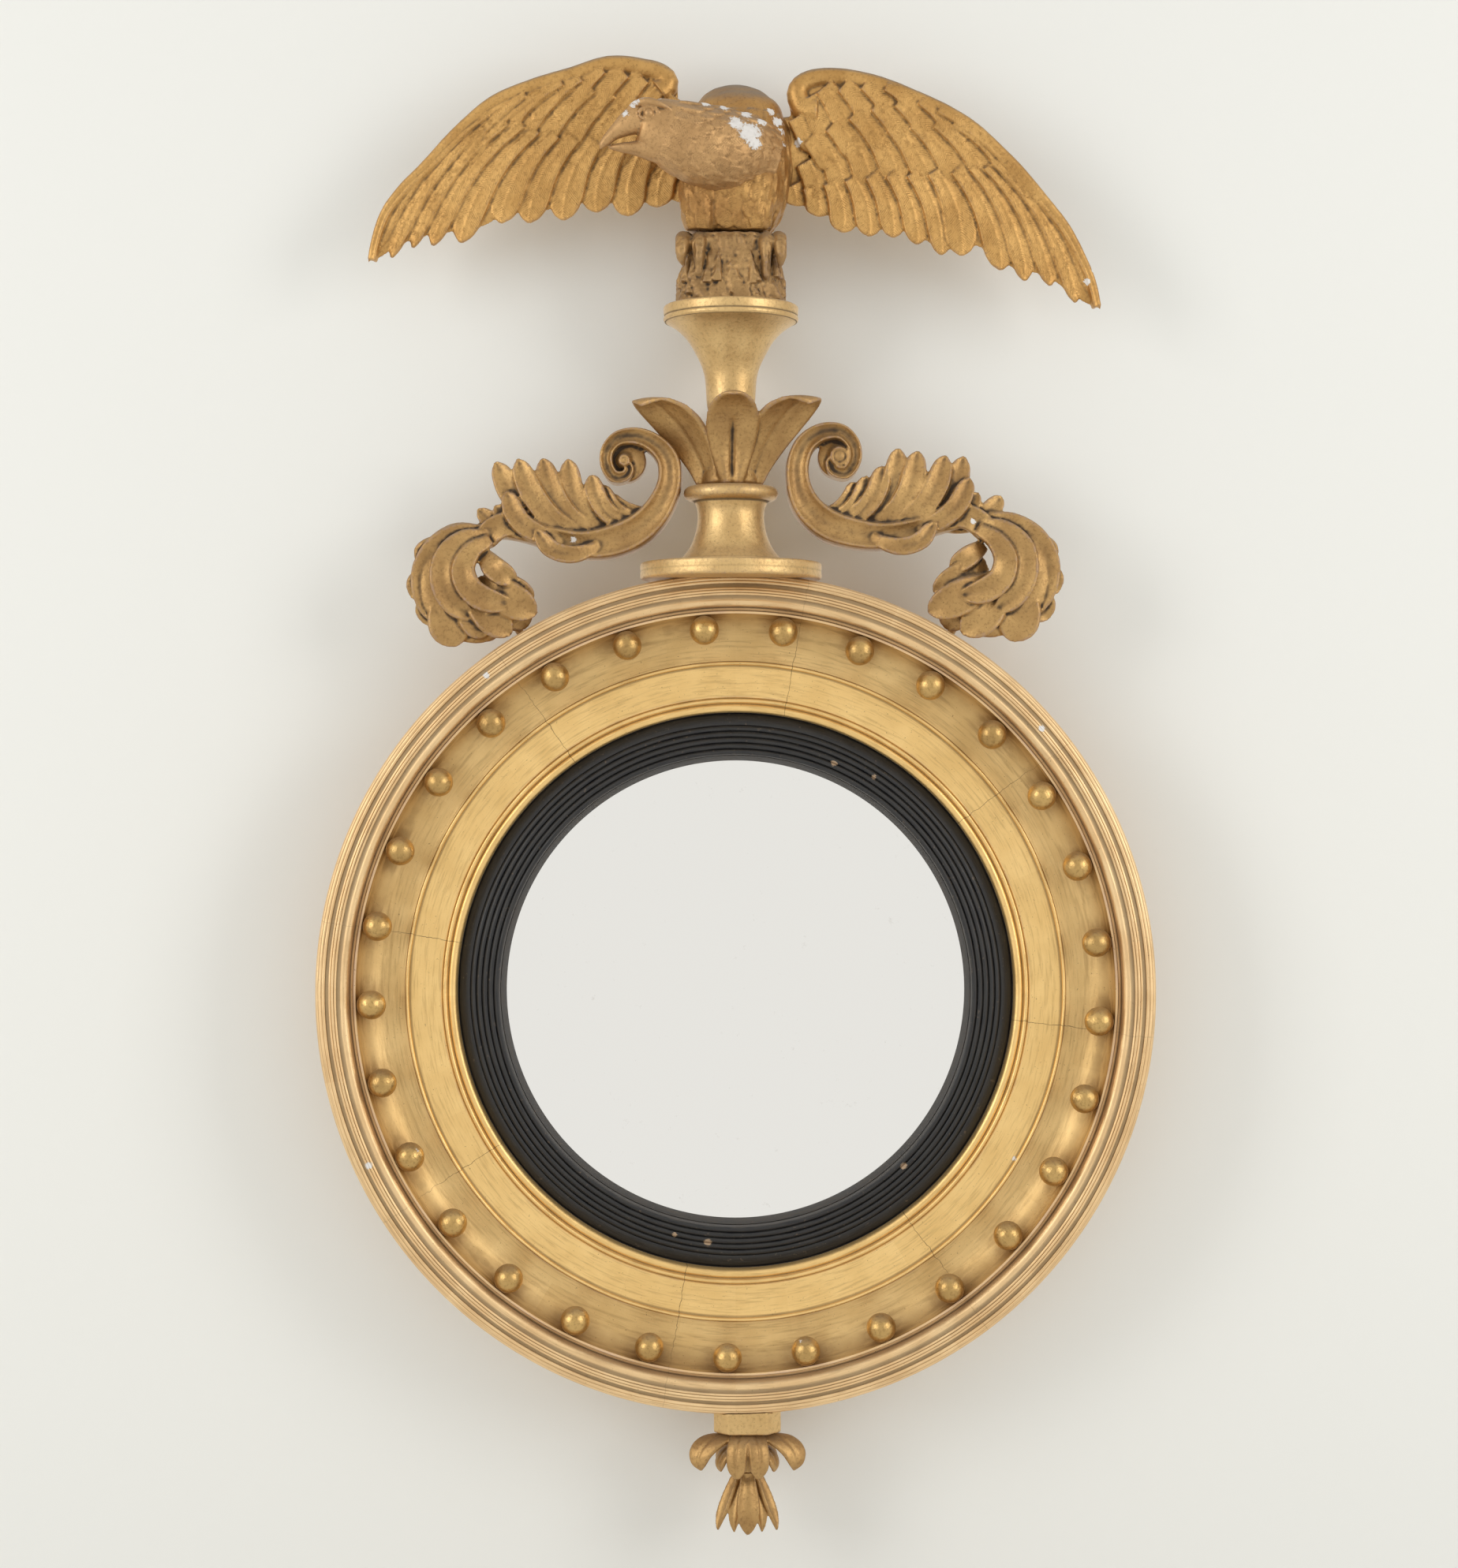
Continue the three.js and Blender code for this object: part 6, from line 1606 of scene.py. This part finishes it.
WING_LOSSES = [(47, -68, 635, 3), (263, -64, 532, 2.4), (268, -64, 541, 2)]
SCROLL_LOSSES = [(-121, -76, 338, 2.5), (177, -72, 352, 2.2)]

# Gold over bole and gesso, bright where it was burnished and browner on the carving.
frieze = gilding("burnished_water_gilding", "#FCD690", "#E3BA74", gloss=0.36, grime_and_shade=0.5, wear=0.3,
                 dust=0.2, ring=True, losses=RIM_LOSSES)
hollow = gilding("oil_gilded_hollow", "#E9C688", "#C9A366", gloss=0.42, grime_and_shade=0.8, wear=0.35,
                 dust=0.2, ring=True, balls=True)
reeds = gilding("rubbed_gilt_reeds", "#F6D5A2", "#DDB580", worn="#E3C6AD", gloss=0.4, grime_and_shade=0.6,
                wear=1.0, dust=0.35, ring=True, losses=RIM_LOSSES)
ball_gilt = gilding("gilt_on_turned_balls", "#CFAB6C", "#916D3E", gloss=0.3, grime_and_shade=0.6, wear=0.0,
                    dust=0.4, losses=BALL_LOSSES, metallic=0.9)
turned_gilt = gilding("gilt_on_turned_wood", "#E2BF84", "#BE985F", gloss=0.38, grime_and_shade=0.8, wear=0.5,
                      dust=0.4)
leaf_gilt = gilding("gilt_on_carved_leaves", "#C09A62", "#8B653A", gloss=0.4, grime_and_shade=1.0, wear=0.6,
                    dust=0.4, losses=SCROLL_LOSSES)
wing_gilt = gilding("gilt_on_carved_feathers", "#D1A462", "#A5773C", gloss=0.42, grime_and_shade=0.8, wear=0.4,
                    dust=0.85, losses=WING_LOSSES, spacing=BARB_SPACING)
body_gilt = gilding("gilt_on_carved_breast", "#BD9256", "#936638", gloss=0.46, grime_and_shade=0.9, wear=0.4,
                    dust=1.0, losses=BODY_LOSSES, spacing=BARB_SPACING)
head_gilt = gilding("gilt_on_carved_head", "#C89F6C", "#A07A4E", worn="#C7A588", gloss=0.46, grime_and_shade=0.9,
                    wear=0.7, dust=0.5, losses=HEAD_LOSSES, spacing=BARB_SPACING)
rock_gilt = gilding("gilt_on_carved_rock", "#B38F5E", "#7B5C3A", gloss=0.5, grime_and_shade=1.0, wear=0.6,
                    dust=0.5)
pine = bare_pine("aged_pine")
ochre = ochre_wash("ochre_distemper")
iron = old_metal("black_iron", "#5B5651", "#4A3A2F", 0.45)
brass = old_metal("dull_brass", "#C2A15E", "#6E5632", 0.32)

add_round_frame(frieze, hollow, reeds, pine, ochre)
add_balls(ball_gilt)
add_crest_turnings(turned_gilt)
add_calyx(leaf_gilt)
add_scroll("scroll_left", leaf_gilt)
add_scroll("scroll_right", leaf_gilt)
add_perch(rock_gilt)
add_eagle_body(body_gilt)
add_eagle_head(head_gilt)
add_wing("wing_left", wing_gilt)
add_wing("wing_right", wing_gilt)
add_pendant_block(turned_gilt)
add_pendant_leaves(leaf_gilt)
add_pendant_bud(leaf_gilt)
add_back(pine, iron)
finish_kept_nodes([
    (pine, ["glass_retainer", "pendant_dowel"]),
    (iron, ["crest_rod", "crest_strap", "strap_screw_upper", "strap_screw_lower", "plate_screw_left",
            "plate_screw_right"]),
    (brass, ["ring_plate_left", "ring_plate_right", "hanging_ring_left", "hanging_ring_right"]),
])
add_stage()
add_light()
add_camera()
bpy.context.scene.view_settings.view_transform = "Standard"
